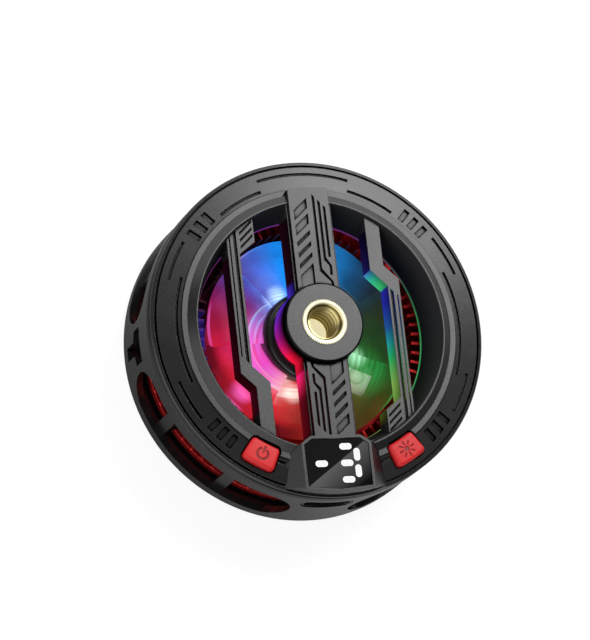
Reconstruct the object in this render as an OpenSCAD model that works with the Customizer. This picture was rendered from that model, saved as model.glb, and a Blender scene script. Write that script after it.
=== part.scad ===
// Phone cooling fan: a round magnetic cooler with a lit fan behind a barred grille, a finned heatsink,
// a thermoelectric module and a cold plate that rests on the phone's back.
// Millimetres. The origin is the centre of the back face and +Z points out of the grille.
// The display is at -Y.

/* [Housing] */
// Outer diameter of the housing
body_d = 60; // [58:0.5:66]
// Wall of the side shell
shell_wall = 1.4; // [1.2:0.1:1.8]
// Height of the plain band under the vents
sill_h = 2.9; // [2.6:0.1:3.6]
// Height of the plain band over the vents
head_h = 3.2; // [2.8:0.1:4]
// Angle that one long vent covers, in degrees
vent_span = 71; // [66:1:72]
// Angle from the side of the housing to the middle of a vent, in degrees
vent_mid_a = 44; // [43:0.5:45]
// Width of the posts that divide a vent
vent_post_w = 2.2; // [1.6:0.1:2.6]
// How far the posts lie behind the shell's surface
vent_post_recess = 1; // [0.7:0.1:1.1]
// Height of the shadow groove between the shell and the front ring
shadow_h = 1.2; // [0.8:0.1:1.6]
// Depth of the shadow groove
shadow_depth = 0.8; // [0.5:0.1:0.9]
// Gap left between pieces that are fitted into each other
fit_gap = 0.1; // [0.06:0.01:0.15]

/* [Front ring] */
// Width of the ring from its rim to the grille opening
ring_w = 7.9; // [7.5:0.1:8.4]
// How much narrower the duct is at the fan than at the lip
duct_taper = 1.7; // [1.5:0.05:2]
// Height of the lip above the outer rim
lip_rise = 2; // [1.6:0.1:2.4]
// Height of the inner plateau above the outer rim
plateau_rise = 1.05; // [0.9:0.05:1.3]
// Height of the duct from its lower edge to the lip
duct_h = 7.2; // [6.8:0.1:8]
// Thickness of the duct's wall
duct_wall = 1.2; // [1:0.1:1.4]
// Depth of the marks and dashes in the ring
mark_depth = 0.4; // [0.2:0.05:0.5]
// Width of the arc dashes
dash_w = 0.55; // [0.4:0.05:0.7]

/* [Grille] */
// Width of the centre bar's top
bar_w = 7.3; // [6.6:0.1:8]
// Width of the ledge along each side of the centre bar
bar_ledge = 0.4; // [0.3:0.05:0.6]
// Depth of the centre bar
bar_h = 5.1; // [4.6:0.1:5.3]
// Height of the centre bar's top above the lip
bar_rise = 0.4; // [0.3:0.05:0.6]
// Width of a side bar's plain part
side_w = 2.55; // [2.2:0.05:2.8]
// Width of a side bar's ribbed part
rib_w = 2.15; // [2:0.05:2.3]
// Distance of a side bar's plain part from the centre line
side_x = 11.5; // [11:0.1:12]
// Sideways step between a side bar's two parts
side_jog = 2.7; // [2.4:0.1:2.9]
// Depth of the side bars
side_h = 3.8; // [3.2:0.1:4]
// How far the side bars lie below the lip
side_drop = 0.7; // [0.5:0.05:1]
// Depth of the grooves in the bars
groove_depth = 0.4; // [0.25:0.05:0.5]

/* [Tripod hub] */
// Diameter of the hub
hub_d = 14.2; // [13:0.1:15]
// Height of the hub above the centre bar
hub_rise = 1.2; // [0.9:0.1:1.5]
// Outer diameter of the brass insert
insert_d = 8.26; // [8:0.02:8.8]
// Length of the brass insert
insert_h = 7.7; // [7.2:0.1:7.8]
// Bore left inside the quarter-inch thread
thread_bore_d = 5.2; // [5.1:0.02:5.3]
// Outer diameter of the quarter-inch thread
thread_d = 6.35; // [6.3:0.01:6.4]

/* [Display and buttons] */
// Width of the display's frame
frame_w = 12.6; // [12:0.1:13.2]
// Width of the frame's border round the window
frame_border = 0.5; // [0.4:0.05:0.7]
// Thickness of the window
window_t = 0.9; // [0.8:0.05:1]
// Length of one lit segment
segment_l = 2.2; // [1.9:0.05:2.3]
// Width of one lit segment
segment_w = 1.1; // [0.9:0.05:1.2]
// Gap between the foot of the display's flank and a button
button_side_gap = 0.46; // [0.4:0.02:0.8]
// Width of a button round the ring
button_w = 5.68; // [5.4:0.02:5.9]
// Length of a button along the radius
button_l = 4.3; // [4:0.05:4.4]
// Height of a button above the ring's face
button_rise = 0.75; // [0.6:0.05:1]
// Travel of a button
button_travel = 0.4; // [0.2:0.05:0.4]
// Gap round a button
button_gap = 0.3; // [0.25:0.01:0.4]

/* [Fan] */
// Gap between the blade tips and the duct's wall
tip_gap = 2.2; // [1.8:0.1:2.6]
// Diameter of the fan's hub
fan_hub_d = 16.2; // [15.6:0.1:17]
// Number of blades
blade_count = 7; // [5:1:9]
// Pitch of the blades, in degrees
blade_pitch = 15; // [12:1:20]
// Thickness of a blade
blade_t = 0.8; // [0.6:0.05:1]
// Diameter of the shaft
shaft_d = 1.5; // [1.4:0.05:1.8]
// Radial running clearance of the shaft in its bush
shaft_play = 0.03; // [0.02:0.005:0.06]
// Gap between the fan's hub and the light chips
led_gap = 0.9; // [0.7:0.1:1.3]
// Side of one light chip
led_side = 5; // [4.6:0.1:5.2]

/* [Heatsink and cooling stack] */
// Thickness of the cold plate
plate_t = 1.4; // [1.3:0.05:1.8]
// Width of the soft contact ring
pad_w = 7.4; // [7.2:0.1:7.8]
// Side of the thermoelectric module
module_side = 23; // [20:0.5:24]
// Thickness of the thermoelectric module
module_t = 2.4; // [2.2:0.1:3.2]
// Thickness of the heatsink's base
base_t = 1.4; // [1.2:0.1:2]
// Height of the fins
fin_h = 7.8; // [7.6:0.1:9]
// Thickness of a fin
fin_t = 0.5; // [0.4:0.05:0.7]
// Number of fin places round the heatsink
fin_places = 72; // [60:2:80]

/* [Port] */
// Width of the charging socket
port_w = 8.94; // [8.9:0.01:9]
// Height of the charging socket
port_h = 3.2; // [3.1:0.02:3.3]
// Length of the charging socket
port_l = 7.2; // [6.8:0.1:7.3]

/* [Hidden] */
$fn = 96;

// Small overlap that keeps cuts clear of the faces they open
eps = 0.02;
// Reach of a cut that passes everything on its way
far = 100;

// Colours
charcoal = [0.2, 0.2, 0.21];
dark_grey = [0.28, 0.28, 0.29];
black = [0.04, 0.04, 0.05];
button_red = [0.85, 0.24, 0.24];
fin_red = [0.72, 0.06, 0.07];
brass = [0.86, 0.76, 0.45];
steel = [0.72, 0.73, 0.75];
board_green = [0.05, 0.22, 0.12];
white = [0.93, 0.93, 0.92];

// Radii of the housing
body_r = body_d / 2;
shell_r = body_r - shell_wall;
opening_r = body_r - ring_w;
duct_r = opening_r - duct_taper;

// Heights of the cooling stack, from the back face up
cover_z = 0.3;
cover_top = 2.2;
pad_t = 0.6;
plate_lip_t = 0.5;
plate_lip_w = 1.2;
module_z = plate_t;
base_z = module_z + module_t;
fins_z = base_z + base_t;
fins_top = fins_z + fin_h;
ceramic_t = 0.6;

// Heights of the front
duct_gap = 0.3;
duct_z = fins_top + duct_gap;
lip_z = duct_z + duct_h;
rim_z = lip_z - lip_rise;
plateau_z = rim_z + plateau_rise;
rim_t = 0.7;
shell_top = rim_z - rim_t - shadow_h;
bar_top = lip_z + bar_rise;
bar_z = bar_top - bar_h;
hub_top = bar_top + hub_rise;
side_top = lip_z - side_drop;
vent_z = cover_z + sill_h;
vent_top = shell_top - head_h;

// Radii and heights that shape the ring's face, from the rim inwards
rim_edge = 0.2;
rim_groove_r = body_r - 0.8;
rim_groove_w = 0.4;
plateau_out_r = opening_r + 2.7;
plateau_in_r = opening_r + 1.67;
plateau_step = 0.25;
plateau_lead = 0.05;
lip_w = 0.45;
lip_round = 0.12;
deck_t = 1.5;
deck_under_z = rim_z - deck_t;
spigot_h = 1.2;
spigot_wall = 0.9;
spigot_fillet = 0.3;
dash_out_r = body_r - 2.35;
dash_in_r = opening_r + 3.55;

// Height of the ring's conical face at radius r
function deck_z(r) = rim_z + (plateau_rise - plateau_step) * (body_r - r) / (body_r - plateau_out_r);
// A point at radius r and angle a
function polar(r, a) = [r * cos(a), r * sin(a)];
// Angle between two directions, from 0 to 180
function between(a, b) = abs((a - b + 540) % 360 - 180);
// An angle in the first quarter, mirrored to all four
function mirrored(a) = [a, 180 - a, 180 + a, 360 - a];
// Radius of the duct's inner face at height z
function duct_at(z) = duct_r + (opening_r - duct_r) * (z - duct_z) / duct_h;

// Places round the housing, as angles from +X
display_a = 270;
vent_mids = mirrored(vent_mid_a);
post_near_a = vent_mid_a - 16.5;
post_far_a = vent_mid_a + 11.6;
vent_post_angles = concat(mirrored(post_near_a), mirrored(post_far_a));
case_post_angles = mirrored(post_near_a);
case_post_d = 3;
case_post_inset = 2.4;
case_post_r = shell_r - case_post_inset;
lug_angles = [0, 90, 180, 270];
lug_d = 4.4;

// Fasteners
screw_d = 1.9;
screw_head_d = 3.6;
screw_head_h = 0.7;
screw_z = pad_t + 0.05;
screw_play = 0.4;
head_play = 0.2;
pilot_play = 0.1;
pilot_h = 6;
press_play = 0.04;

// Shell
shoulder = 0.8;
shoulder_in = 0.2;
shoulder_low = 0.3;
foot_in = 0.15;
foot_low = 0.3;
foot_h = 0.8;
ledge_slope = 0.2;
post_in_r = shell_r - 0.6;
shell_ledge_w = 0.8;
shell_ledge_t = 0.8;
shell_foot = 0.6;
notch_w = 6.2;
notch_stem_w = 2.4;
notch_z = vent_z + 4.4;
notch_top = notch_z + 3.3;

// Upper end of the centre bar, which lies in the ring
bar_end_y = plateau_out_r - 0.25;
bar_end_z = plateau_z - 0.5;

// Display block
frame_in_y = -(opening_r - 2.35);
frame_chamfer_x = 1.8;
frame_chamfer_y = 1.25;
frame_r = body_r - 0.3;
flank_slope = 1.15;
block_z = rim_z - 0.1;
flank_w = (bar_top - block_z) * flank_slope;
window_drop = 0.1;
window_z = bar_top - window_drop - window_t;
segment_depth = 0.3;
digit_x = frame_w / 2 - 4.7;
digit_y = frame_in_y - 4.9;
digit_h = segment_l + 0.7;
digit_half = segment_l / 2 + 0.8;
minus_x = 3.3 - frame_w / 2;
module_w = frame_w - 3;
module_l = 2 * digit_h - 0.2;
display_h = window_z - block_z - fit_gap;
window_in_r = frame_border - frame_in_y + 0.1;
pin_d = 0.5;
pin_pitch = 1.6;
pin_slot_w = 6 * pin_pitch;
pin_slot_l = 1.2;

// Buttons, from the underside of the ring's face down to the control board
button_inset = 4.15;
button_r = body_r - button_inset;
button_span = button_w / button_r * 180 / PI;
button_reach = frame_w / 2 + flank_w + button_side_gap;
button_angle = asin(button_reach / (button_r - button_l / 2)) + button_span / 2;
button_corner = 0.7;
button_edge = 0.6;
button_top = deck_z(button_r) + button_rise;
flange_t = 0.45;
flange_ear = 1.6;
flange_trim = 0.9;
flange_gap = 0.15;
flange_z = deck_under_z - flange_t - flange_gap;
switch_side = 3.2;
switch_h = 0.8;
switch_gap = 0.1;
plunger_d = 1.2;
plunger_play = 0.05;

// Control board, under the ring's face
board_t = 0.9;
board_top = flange_z - button_travel - switch_gap - switch_h;
board_z = board_top - board_t;
board_gap = 0.7;
board_in_r = duct_at(board_top) + duct_wall + board_gap;
board_under_spigot = 0.2;
board_out_r = shell_r - spigot_wall + board_under_spigot;
board_end_a = 5.4;
board_span = 2 * button_angle + button_span + 2 * board_end_a;

// Brass insert
knurl_teeth = 64;
knurl_depth = 0.16;
insert_proud = 0.12;
insert_floor = 0.4;
insert_z = hub_top + insert_proud - insert_h;
boss_wall = 1.1;
boss_d = insert_d + 2 * boss_wall;
boss_z = insert_z - insert_floor;

// Fan and motor, from the heatsink's base up
motor_board_t = 1;
fan_d = 2 * (duct_r - tip_gap);
motor_board_inset = 1.7;
motor_board_r = fan_d / 2 - motor_board_inset;
motor_board_top = fins_z + motor_board_t;
led_h = 1.6;
led_r = fan_hub_d / 2 + led_gap + led_side / 2;
led_first_a = 113;
led_count = 5;
bush_d = 4.4;
bush_z = base_z + fit_gap;
bush_top = fins_top - 1.6;
blade_low = motor_board_top + led_h + 0.8;
fan_top = fins_top + 0.6;
fan_cap_t = 1.2;
fan_wall = 0.78;
fan_skirt_z = motor_board_top + 0.8;
fan_boss_d = 3.2;
fan_boss_gap = 0.2;
shaft_cover = 0.4;
shaft_lift = 0.4;
magnet_t = 1;
magnet_play = 0.02;
core_z = motor_board_top + 0.8;
core_top = bush_top - 1;
pole_count = 4;
pole_w = 1.8;
shoe_t = 0.8;
coil_l = 1.4;
rotor_gap = 0.5;
core_r = fan_hub_d / 2 - fan_wall - magnet_t - rotor_gap;
yoke_r = core_r - shoe_t - coil_l - 2 * fit_gap;
coil_wrap = 0.7;

// Contact ring and magnets between the plate and the edge of the cover
pad_edge = 0.6;
pad_out_r = shell_r - pad_edge;
pad_in_r = pad_out_r - pad_w;
plate_gap = 2.2;
plate_d = 2 * (pad_in_r - plate_gap);
lug_inset = 4.4;
lug_r = pad_out_r - lug_inset;
magnet_inset = 2.3;
magnet_in_r = pad_in_r + magnet_inset;
magnet_edge = 1.1;
magnet_out_r = pad_out_r - magnet_edge;
magnet_z = 1;
magnet_gap_a = 6.5;

// Angles of the screws that the magnets lie between
magnet_edges = [
    for (quarter = [0:3])
        for (a = [0, quarter % 2 == 0 ? post_near_a : 90 - post_near_a]) quarter * 90 + a
];

// Heatsink
heatsink_gap = 1.2;
heatsink_r = shell_r - heatsink_gap;
fin_tip_gap = 0.7;
fin_in_r = fan_d / 2 + fin_tip_gap;
fin_out_r = heatsink_r - fit_gap;
port_clear_a = 21;
post_clear_a = 5.2;

// Fin places that are clear of the socket, the wires and the screw posts
fin_angles = [
    for (i = [0:fin_places - 1])
        let (a = i * 360 / fin_places, posts = [for (p = case_post_angles) between(a, p)])
            if (between(a, display_a) > port_clear_a && min(posts) > post_clear_a) a
];

// Charging socket, hung under the control board
port_z = board_z - port_h / 2;
port_mouth = body_r - 0.4;
port_wall = 0.3;
port_back = 1.2;

// Wires
module_lead_d = 1.2;
fan_lead_d = 1;
lead_inset = 0.9;
lead_r = board_in_r + lead_inset;
lead_play = 0.6;
lead_gap = 1.2;
fan_lead_x = port_w / 2 + lead_gap;
fan_lead_y = -sqrt(lead_r * lead_r - fan_lead_x * fan_lead_x);
module_lead_x = fan_lead_x + 1.5 * lead_gap;
module_lead_y = -sqrt(lead_r * lead_r - module_lead_x * module_lead_x);
bend_r = 1.5;

// A part of a ring between two radii, two angles and two heights
module sector(r0, r1, a0, a1, z0, z1) {
    rotate([0, 0, a0])
        rotate_extrude(angle = a1 - a0)
            translate([r0, z0]) square([r1 - r0, z1 - z0]);
}

// The outline of a part of a ring
module sector_2d(r0, r1, a0, a1) {
    steps = 4;
    wedge = [for (i = [0:steps]) polar(2 * r1, a0 + (a1 - a0) * i / steps)];
    difference() {
        intersection() {
            circle(r1);
            polygon(concat([[0, 0]], wedge));
        }
        circle(r0);
    }
}

// Rounds the outer corners of an outline
module rounded(r) {
    offset(r = r, $fn = 32) offset(delta = -r) children();
}

// A flat slot with round ends, lying along X
module stadium(l, w) {
    translate([(w - l) / 2, 0]) circle(w / 2);
    translate([(l - w) / 2, 0]) circle(w / 2);
    square([l - w, w], center = true);
}

// Stands an outline drawn in X and Z upright at angle a, reaching from radius r0 to r1
module on_wall(a, r0, r1) {
    rotate([0, 0, a + 90])
        translate([0, -r0, 0])
            rotate([90, 0, 0]) linear_extrude(r1 - r0) children();
}

// The space inside the grille opening, grown by grow
module opening_space(grow = 0) {
    rotate_extrude()
        polygon([[0, duct_z - eps], [duct_r + grow, duct_z - eps], [opening_r + grow, lip_z], [0, lip_z]]);
}

// Front ring: rim, conical face, plateau, lip and duct in one profile
module ring_body() {
    under_r = duct_r + duct_wall;
    knee_z = plateau_z - deck_t;
    spigot_r = shell_r - fit_gap;
    groove_in = rim_groove_r - rim_groove_w / 2;
    groove_out = rim_groove_r + rim_groove_w / 2;
    rotate_extrude()
        polygon([
            [spigot_r, shell_top],
            [body_r - shadow_depth, shell_top],
            [body_r - shadow_depth, shell_top + shadow_h],
            [body_r, shell_top + shadow_h + rim_edge / 2],
            [body_r, rim_z - rim_edge],
            [body_r - rim_edge, rim_z],
            [groove_out, deck_z(groove_out)],
            [groove_out, rim_z - mark_depth],
            [groove_in, rim_z - mark_depth],
            [groove_in, deck_z(groove_in)],
            [plateau_out_r, plateau_z - plateau_step],
            [plateau_out_r - plateau_lead, plateau_z],
            [plateau_in_r, plateau_z],
            [opening_r + lip_w, lip_z - lip_round],
            [opening_r + lip_w - lip_round, lip_z],
            [opening_r + lip_round, lip_z],
            [opening_r, lip_z - lip_round],
            [duct_r, duct_z],
            [under_r, duct_z],
            [duct_at(knee_z) + duct_wall, knee_z],
            [plateau_in_r, knee_z],
            [spigot_r - spigot_wall - spigot_fillet, deck_under_z],
            [spigot_r - spigot_wall, deck_under_z - spigot_fillet],
            [spigot_r - spigot_wall, shell_top - spigot_h],
            [spigot_r, shell_top - spigot_h]
        ]);
}

// Arc dash in the ring's face
module dash(r, a0, a1) {
    sector(r - dash_w / 2, r + dash_w / 2, a0, a1, deck_z(r) - mark_depth, lip_z + 1);
}

// Three short marks side by side, round angle a
module marks(a) {
    mark_l = 2.6;
    mark_w = 1.15;
    mark_turn = 4.4;
    mid_r = (dash_out_r + dash_in_r) / 2;
    tilt = atan((deck_z(dash_in_r) - deck_z(dash_out_r)) / (dash_out_r - dash_in_r));
    for (i = [-1:1])
        rotate([0, 0, a + i * mark_turn])
            translate([mid_r, 0, deck_z(mid_r) - mark_depth])
                rotate([0, tilt, 0])
                    translate([-mark_l / 2, -mark_w / 2, 0])
                        cube([mark_l, mark_w, lip_rise]);
}

// All the marks and dashes in the ring's face
module ring_marks() {
    mark_a = 43.4;
    near_a = 19;
    far_a = 34.6;
    inner_half = 21.3;
    high_a = 52.5;
    high_end = 72;
    top_half = 17.5;
    short_from = 14;
    short_to = 5;
    dash(dash_out_r, 90 - top_half, 90 + top_half);
    for (side = [0, 1])
        mirror([side, 0, 0]) {
            dash(dash_in_r, -inner_half, inner_half);
            dash(dash_in_r, high_a, high_end);
            dash(dash_out_r, near_a, far_a);
            dash(dash_out_r, -far_a, -near_a);
            dash(dash_in_r, button_angle - 90 - short_from, button_angle - 90 - short_to);
            marks(mark_a);
            marks(-mark_a);
        }
}

// Outline of a button, grown by grow
module button_outline(grow = 0) {
    half = button_span / 2;
    a = display_a + button_angle;
    offset(delta = grow)
        rounded(button_corner)
            sector_2d(button_r - button_l / 2, button_r + button_l / 2, a - half, a + half);
}

// One side bar of the grille: ribbed part with a slotted plate above, a step, a plain part below
module side_bar() {
    out_x = -(side_x + side_jog + rib_w / 2);
    rib_in_x = out_x + rib_w;
    plain_out_x = -(side_x + side_w / 2);
    plain_in_x = plain_out_x + side_w;
    jog_out_y = -8.1;
    jog_in_y = -6.9;
    plate_y = 13.1;
    plate_w = plain_in_x - rib_in_x;
    plate_rise = plate_w * 0.75;
    wide_x = rib_in_x - 0.95;
    wide_w = 0.55;
    wide_y = jog_in_y + 1.1;
    wide_cut = 0.7;
    thin_x = out_x + 0.4;
    thin_w = 0.22;
    thin_y = jog_in_y + 1.8;
    thin_cut = 0.3;
    slot_count = 3;
    slot_edge = 0.25;
    slot_y = plate_y + 0.9;
    slot_l = plate_w - 0.55;
    slot_w = 0.5;
    slot_pitch = 1.25;
    difference() {
        translate([0, 0, side_top - side_h])
            linear_extrude(side_h)
                polygon([
                    [out_x, opening_r], [plain_in_x, opening_r],
                    [plain_in_x, plate_y + plate_rise], [rib_in_x, plate_y],
                    [rib_in_x, jog_in_y], [plain_in_x, jog_in_y - plate_w],
                    [plain_in_x, -opening_r], [plain_out_x, -opening_r],
                    [plain_out_x, jog_out_y - (plain_out_x - out_x)], [out_x, jog_out_y]
                ]);
        translate([0, 0, side_top - groove_depth])
            linear_extrude(2 * groove_depth) {
                polygon([
                    [wide_x, wide_y], [wide_x + wide_w, wide_y - wide_cut],
                    [wide_x + wide_w, opening_r], [wide_x, opening_r]
                ]);
                polygon([
                    [thin_x, thin_y], [thin_x + thin_w, thin_y - thin_cut],
                    [thin_x + thin_w, opening_r], [thin_x, opening_r]
                ]);
                for (i = [0:slot_count - 1])
                    translate([rib_in_x + slot_edge, slot_y + i * slot_pitch])
                        polygon([
                            [0, 0], [slot_l, plate_rise], [slot_l, plate_rise + slot_w], [0, slot_w]
                        ]);
            }
    }
}

// Posts that take the case screws
module case_posts() {
    sink = 0.3;
    post_h = deck_under_z + sink - cover_top - fit_gap / 2;
    at_case_screws()
        difference() {
            translate([0, 0, cover_top + fit_gap / 2]) cylinder(d = case_post_d, h = post_h);
            translate([0, 0, cover_top]) cylinder(d = screw_d + pilot_play, h = pilot_h);
        }
}

module front_ring() {
    bar_sink = 0.5;
    color(charcoal)
        difference() {
            union() {
                ring_body();
                case_posts();
                intersection() {
                    opening_space(bar_sink);
                    union() {
                        side_bar();
                        rotate([0, 0, 180]) side_bar();
                    }
                }
            }
            ring_marks();
            for (side = [0, 1])
                mirror([side, 0, 0])
                    translate([0, 0, flange_z]) linear_extrude(far) button_outline(button_gap);
            display_block(fit_gap, body_r + 1);
            translate([0, 0, bar_end_z - fit_gap]) linear_extrude(far) bar_end_outline(fit_gap);
            translate([0, digit_y, lip_z / 2 + board_top])
                cube([pin_slot_w, pin_slot_l, lip_z], center = true);
        }
}

// Outline of the bar's upper end, which lies in the ring
module bar_end_outline(grow = 0) {
    corner = 0.6;
    start_y = duct_r - 1;
    offset(delta = grow)
        rounded(corner)
            translate([-bar_w / 2, start_y]) square([bar_w, bar_end_y - start_y]);
}

// A block outline with chamfered inner corners, half wide to each side
module chamfered_frame(half) {
    out_y = -2 * body_r;
    knee_y = frame_in_y - frame_chamfer_y;
    knee_x = half - frame_chamfer_x;
    polygon([
        [-half, out_y], [-half, knee_y], [-knee_x, frame_in_y],
        [knee_x, frame_in_y], [half, knee_y], [half, out_y]
    ]);
}

// Outline of the display's frame out to radius reach, moved in by inset
module frame_outline(inset = 0, reach = frame_r) {
    corner = 0.35;
    offset(delta = -inset)
        rounded(corner)
            intersection() {
                circle(reach);
                chamfered_frame(frame_w / 2);
            }
}

// Outline of the display's window, moved in by inset
module window_outline(inset = 0) {
    difference() {
        frame_outline(frame_border + inset);
        circle(window_in_r + inset);
    }
}

// Display block with sloping flanks out to radius reach, grown by grow
module display_block(grow = 0, reach = frame_r) {
    half = frame_w / 2 + flank_w;
    hull() {
        translate([0, 0, bar_top + grow - eps])
            linear_extrude(eps) offset(delta = grow) frame_outline(0, reach);
        translate([0, 0, block_z - grow])
            linear_extrude(eps)
                offset(delta = grow)
                    intersection() {
                        circle(reach);
                        chamfered_frame(half);
                    }
    }
}

// Slanting slots and long lines in one half of the centre bar, from the hub outwards
module bar_pattern(wide_slots, line_end) {
    start_y = hub_d / 2 - 2;
    slot_in = -0.4;
    slot_out = -2.9;
    slot_rise = 2.2;
    narrow_h = 0.8;
    wide_h = 1.8;
    first_y = 9.9;
    first_gap = 1.2;
    narrow_pitch = 2;
    wide_pitch = 2.8;
    narrow_count = 3;
    line_w = 0.45;
    line_x = [0.85, 1.8, 2.7];
    line_low = [9.4, 11.4, 12];
    line_cut = 0.5;
    turn_y = [line_low[0] - 1.9, line_low[1] - 1];
    turn_l = 1.65;
    edge = line_w / 2;
    first_wide_y = first_y + narrow_count * narrow_pitch;
    module slot(y, h)
        polygon([
            [slot_out, y], [slot_in, y + slot_rise], [slot_in, y + slot_rise + h], [slot_out, y + h]
        ]);
    for (i = [0:narrow_count - 1]) slot(first_y + i * narrow_pitch, narrow_h);
    for (i = [0:wide_slots - 1]) slot(first_wide_y + i * wide_pitch, wide_h);
    polygon([
        [slot_out, start_y], [slot_in, start_y],
        [slot_in, first_y + slot_rise - first_gap], [slot_out, first_y - first_gap]
    ]);
    for (i = [0:2])
        polygon([
            [line_x[i] - edge, line_low[i]], [line_x[i] + edge, line_low[i]],
            [line_x[i] + edge, line_end - line_cut - i], [line_x[i] - edge, line_end - i]
        ]);
    for (i = [0:1])
        polygon([
            [line_x[i] - edge, line_low[i]], [line_x[2] - edge, turn_y[i]],
            [line_x[2] + edge, turn_y[i]], [line_x[i] + edge, line_low[i] + line_cut]
        ]);
    translate([line_x[2] - edge, start_y]) square([line_w, turn_y[0] - start_y]);
    translate([line_x[2] - edge, turn_y[1] - turn_l]) square([line_w, turn_l]);
}

module centre_bridge() {
    base_w = bar_w + 2 * bar_ledge;
    top_t = 0.6;
    hub_edge = 0.35;
    pocket_w = module_w + 3 * fit_gap;
    pocket_l = module_l + 3 * fit_gap;
    upper_end = bar_end_y - 1.15;
    lower_end = 0.55 - frame_in_y;
    color(dark_grey)
        difference() {
            union() {
                intersection() {
                    opening_space(-fit_gap / 2);
                    translate([-base_w / 2, -opening_r, bar_z])
                        cube([base_w, 2 * opening_r, bar_h - top_t]);
                }
                translate([0, 0, bar_end_z]) linear_extrude(bar_top - bar_end_z) bar_end_outline();
                translate([-bar_w / 2, frame_in_y - 1, bar_top - top_t - eps])
                    cube([bar_w, duct_r - frame_in_y + 1, top_t + eps]);
                translate([0, 0, bar_z]) cylinder(d = hub_d, h = hub_top - hub_edge - bar_z);
                translate([0, 0, boss_z]) cylinder(d = boss_d, h = hub_top - hub_edge - boss_z);
                translate([0, 0, hub_top - hub_edge])
                    cylinder(d1 = hub_d, d2 = hub_d - 2 * hub_edge, h = hub_edge);
                difference() {
                    display_block();
                    opening_space(fit_gap);
                    translate([0, 0, lip_z - eps]) cylinder(r = opening_r + fit_gap, h = far);
                }
                translate([0, 0, block_z]) linear_extrude(bar_top - block_z) frame_outline();
            }
            translate([0, 0, insert_z]) cylinder(d = insert_d + press_play, h = far);
            translate([0, 0, window_z]) linear_extrude(far) window_outline();
            translate([-pocket_w / 2, digit_y - pocket_l / 2, 0]) cube([pocket_w, pocket_l, lip_z]);
            translate([0, 0, bar_top - groove_depth])
                linear_extrude(2 * groove_depth) bar_pattern(2, upper_end);
            translate([0, 0, bar_top - groove_depth])
                linear_extrude(2 * groove_depth)
                    intersection() {
                        rotate(180) bar_pattern(1, lower_end);
                        translate([-bar_w / 2, frame_in_y + fit_gap]) square([bar_w, opening_r]);
                    }
        }
}

module threaded_insert() {
    mouth_h = 0.4;
    mouth_d = thread_d + 0.4;
    knurl_a = 180 / knurl_teeth;
    knurl = [for (i = [0:2 * knurl_teeth - 1]) polar(insert_d / 2 - (i % 2) * knurl_depth, i * knurl_a)];
    color(brass)
        difference() {
            translate([0, 0, insert_z]) linear_extrude(insert_h) polygon(knurl);
            translate([0, 0, insert_z + insert_floor]) cylinder(d = thread_bore_d, h = far);
            translate([0, 0, insert_z + insert_h - mouth_h])
                cylinder(d1 = thread_bore_d, d2 = mouth_d, h = mouth_h + eps);
        }
}

// Outlines of the lit segments: a minus sign and one digit
module segment_outlines() {
    translate([minus_x, digit_y]) stadium(segment_l, segment_w);
    for (row = [-1:1]) translate([digit_x, digit_y + row * digit_h]) stadium(segment_l, segment_w);
    for (row = [-1, 1])
        translate([digit_x + digit_half, digit_y + row * digit_h / 2])
            rotate(90) stadium(segment_l, segment_w);
}

module display_window() {
    color(black)
        difference() {
            translate([0, 0, window_z]) linear_extrude(window_t) window_outline(fit_gap);
            translate([0, 0, window_z + window_t - segment_depth]) linear_extrude(far) segment_outlines();
        }
}

module display_segments() {
    color(white)
        translate([0, 0, window_z + window_t - segment_depth])
            linear_extrude(segment_depth) segment_outlines();
}

module display_module() {
    color(white)
        translate([-module_w / 2, digit_y - module_l / 2, window_z - display_h])
            cube([module_w, module_l, display_h]);
}

module display_pins() {
    pin_top = window_z - display_h;
    color(steel)
        for (i = [-2.5:2.5])
            translate([i * pin_pitch, digit_y, board_top]) cylinder(d = pin_d, h = pin_top - board_top);
}

// A button: cap with a bevelled top, and a flange that holds it under the ring's face
module button() {
    half = button_span / 2 + flange_ear;
    a = display_a + button_angle;
    cap_z = flange_z + flange_t - eps;
    top_inset = button_edge * 0.8;
    flange_in = button_r - button_l / 2;
    flange_out = button_r + button_l / 2 - flange_trim;
    color(button_red) {
        hull() {
            translate([0, 0, cap_z]) linear_extrude(button_top - button_edge - cap_z) button_outline();
            translate([0, 0, button_top - eps]) linear_extrude(eps) button_outline(-top_inset);
        }
        translate([0, 0, flange_z])
            linear_extrude(flange_t) sector_2d(flange_in, flange_out, a - half, a + half);
    }
}

module light_button() {
    button();
}

module power_button() {
    mirror([1, 0, 0]) button();
}

// Places something at the middle of the light button
module at_button() {
    rotate([0, 0, display_a + button_angle]) translate([button_r, 0, 0]) children();
}

module plunger() {
    reach = button_travel + switch_gap + 0.3;
    color(black)
        at_button()
            translate([0, 0, flange_z - reach]) cylinder(d = plunger_d, h = reach);
}

module light_plunger() {
    plunger();
}

module power_plunger() {
    mirror([1, 0, 0]) plunger();
}

module tact_switch() {
    color(steel)
        at_button()
            difference() {
                translate([-switch_side / 2, -switch_side / 2, board_top])
                    cube([switch_side, switch_side, switch_h]);
                translate([0, 0, board_top - eps]) cylinder(d = plunger_d + 2 * plunger_play, h = far);
            }
}

module light_switch() {
    tact_switch();
}

module power_switch() {
    mirror([1, 0, 0]) tact_switch();
}

module main_board() {
    half = board_span / 2;
    color(board_green)
        sector(board_in_r, board_out_r, display_a - half, display_a + half, board_z, board_top);
}

module board_chips() {
    chip = [3, 3, 0.8];
    coil = [3, 3, 1.05];
    mid_r = button_r + 0.3;
    chip_a = 21.5;
    coil_a = -20.5;
    color(black) {
        rotate([0, 0, display_a + chip_a])
            translate([mid_r - chip[0] / 2, -chip[1] / 2, board_z - chip[2]]) cube(chip);
        rotate([0, 0, display_a + coil_a])
            translate([mid_r - coil[0] / 2, -coil[1] / 2, board_z - coil[2]]) cube(coil);
    }
}

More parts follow.
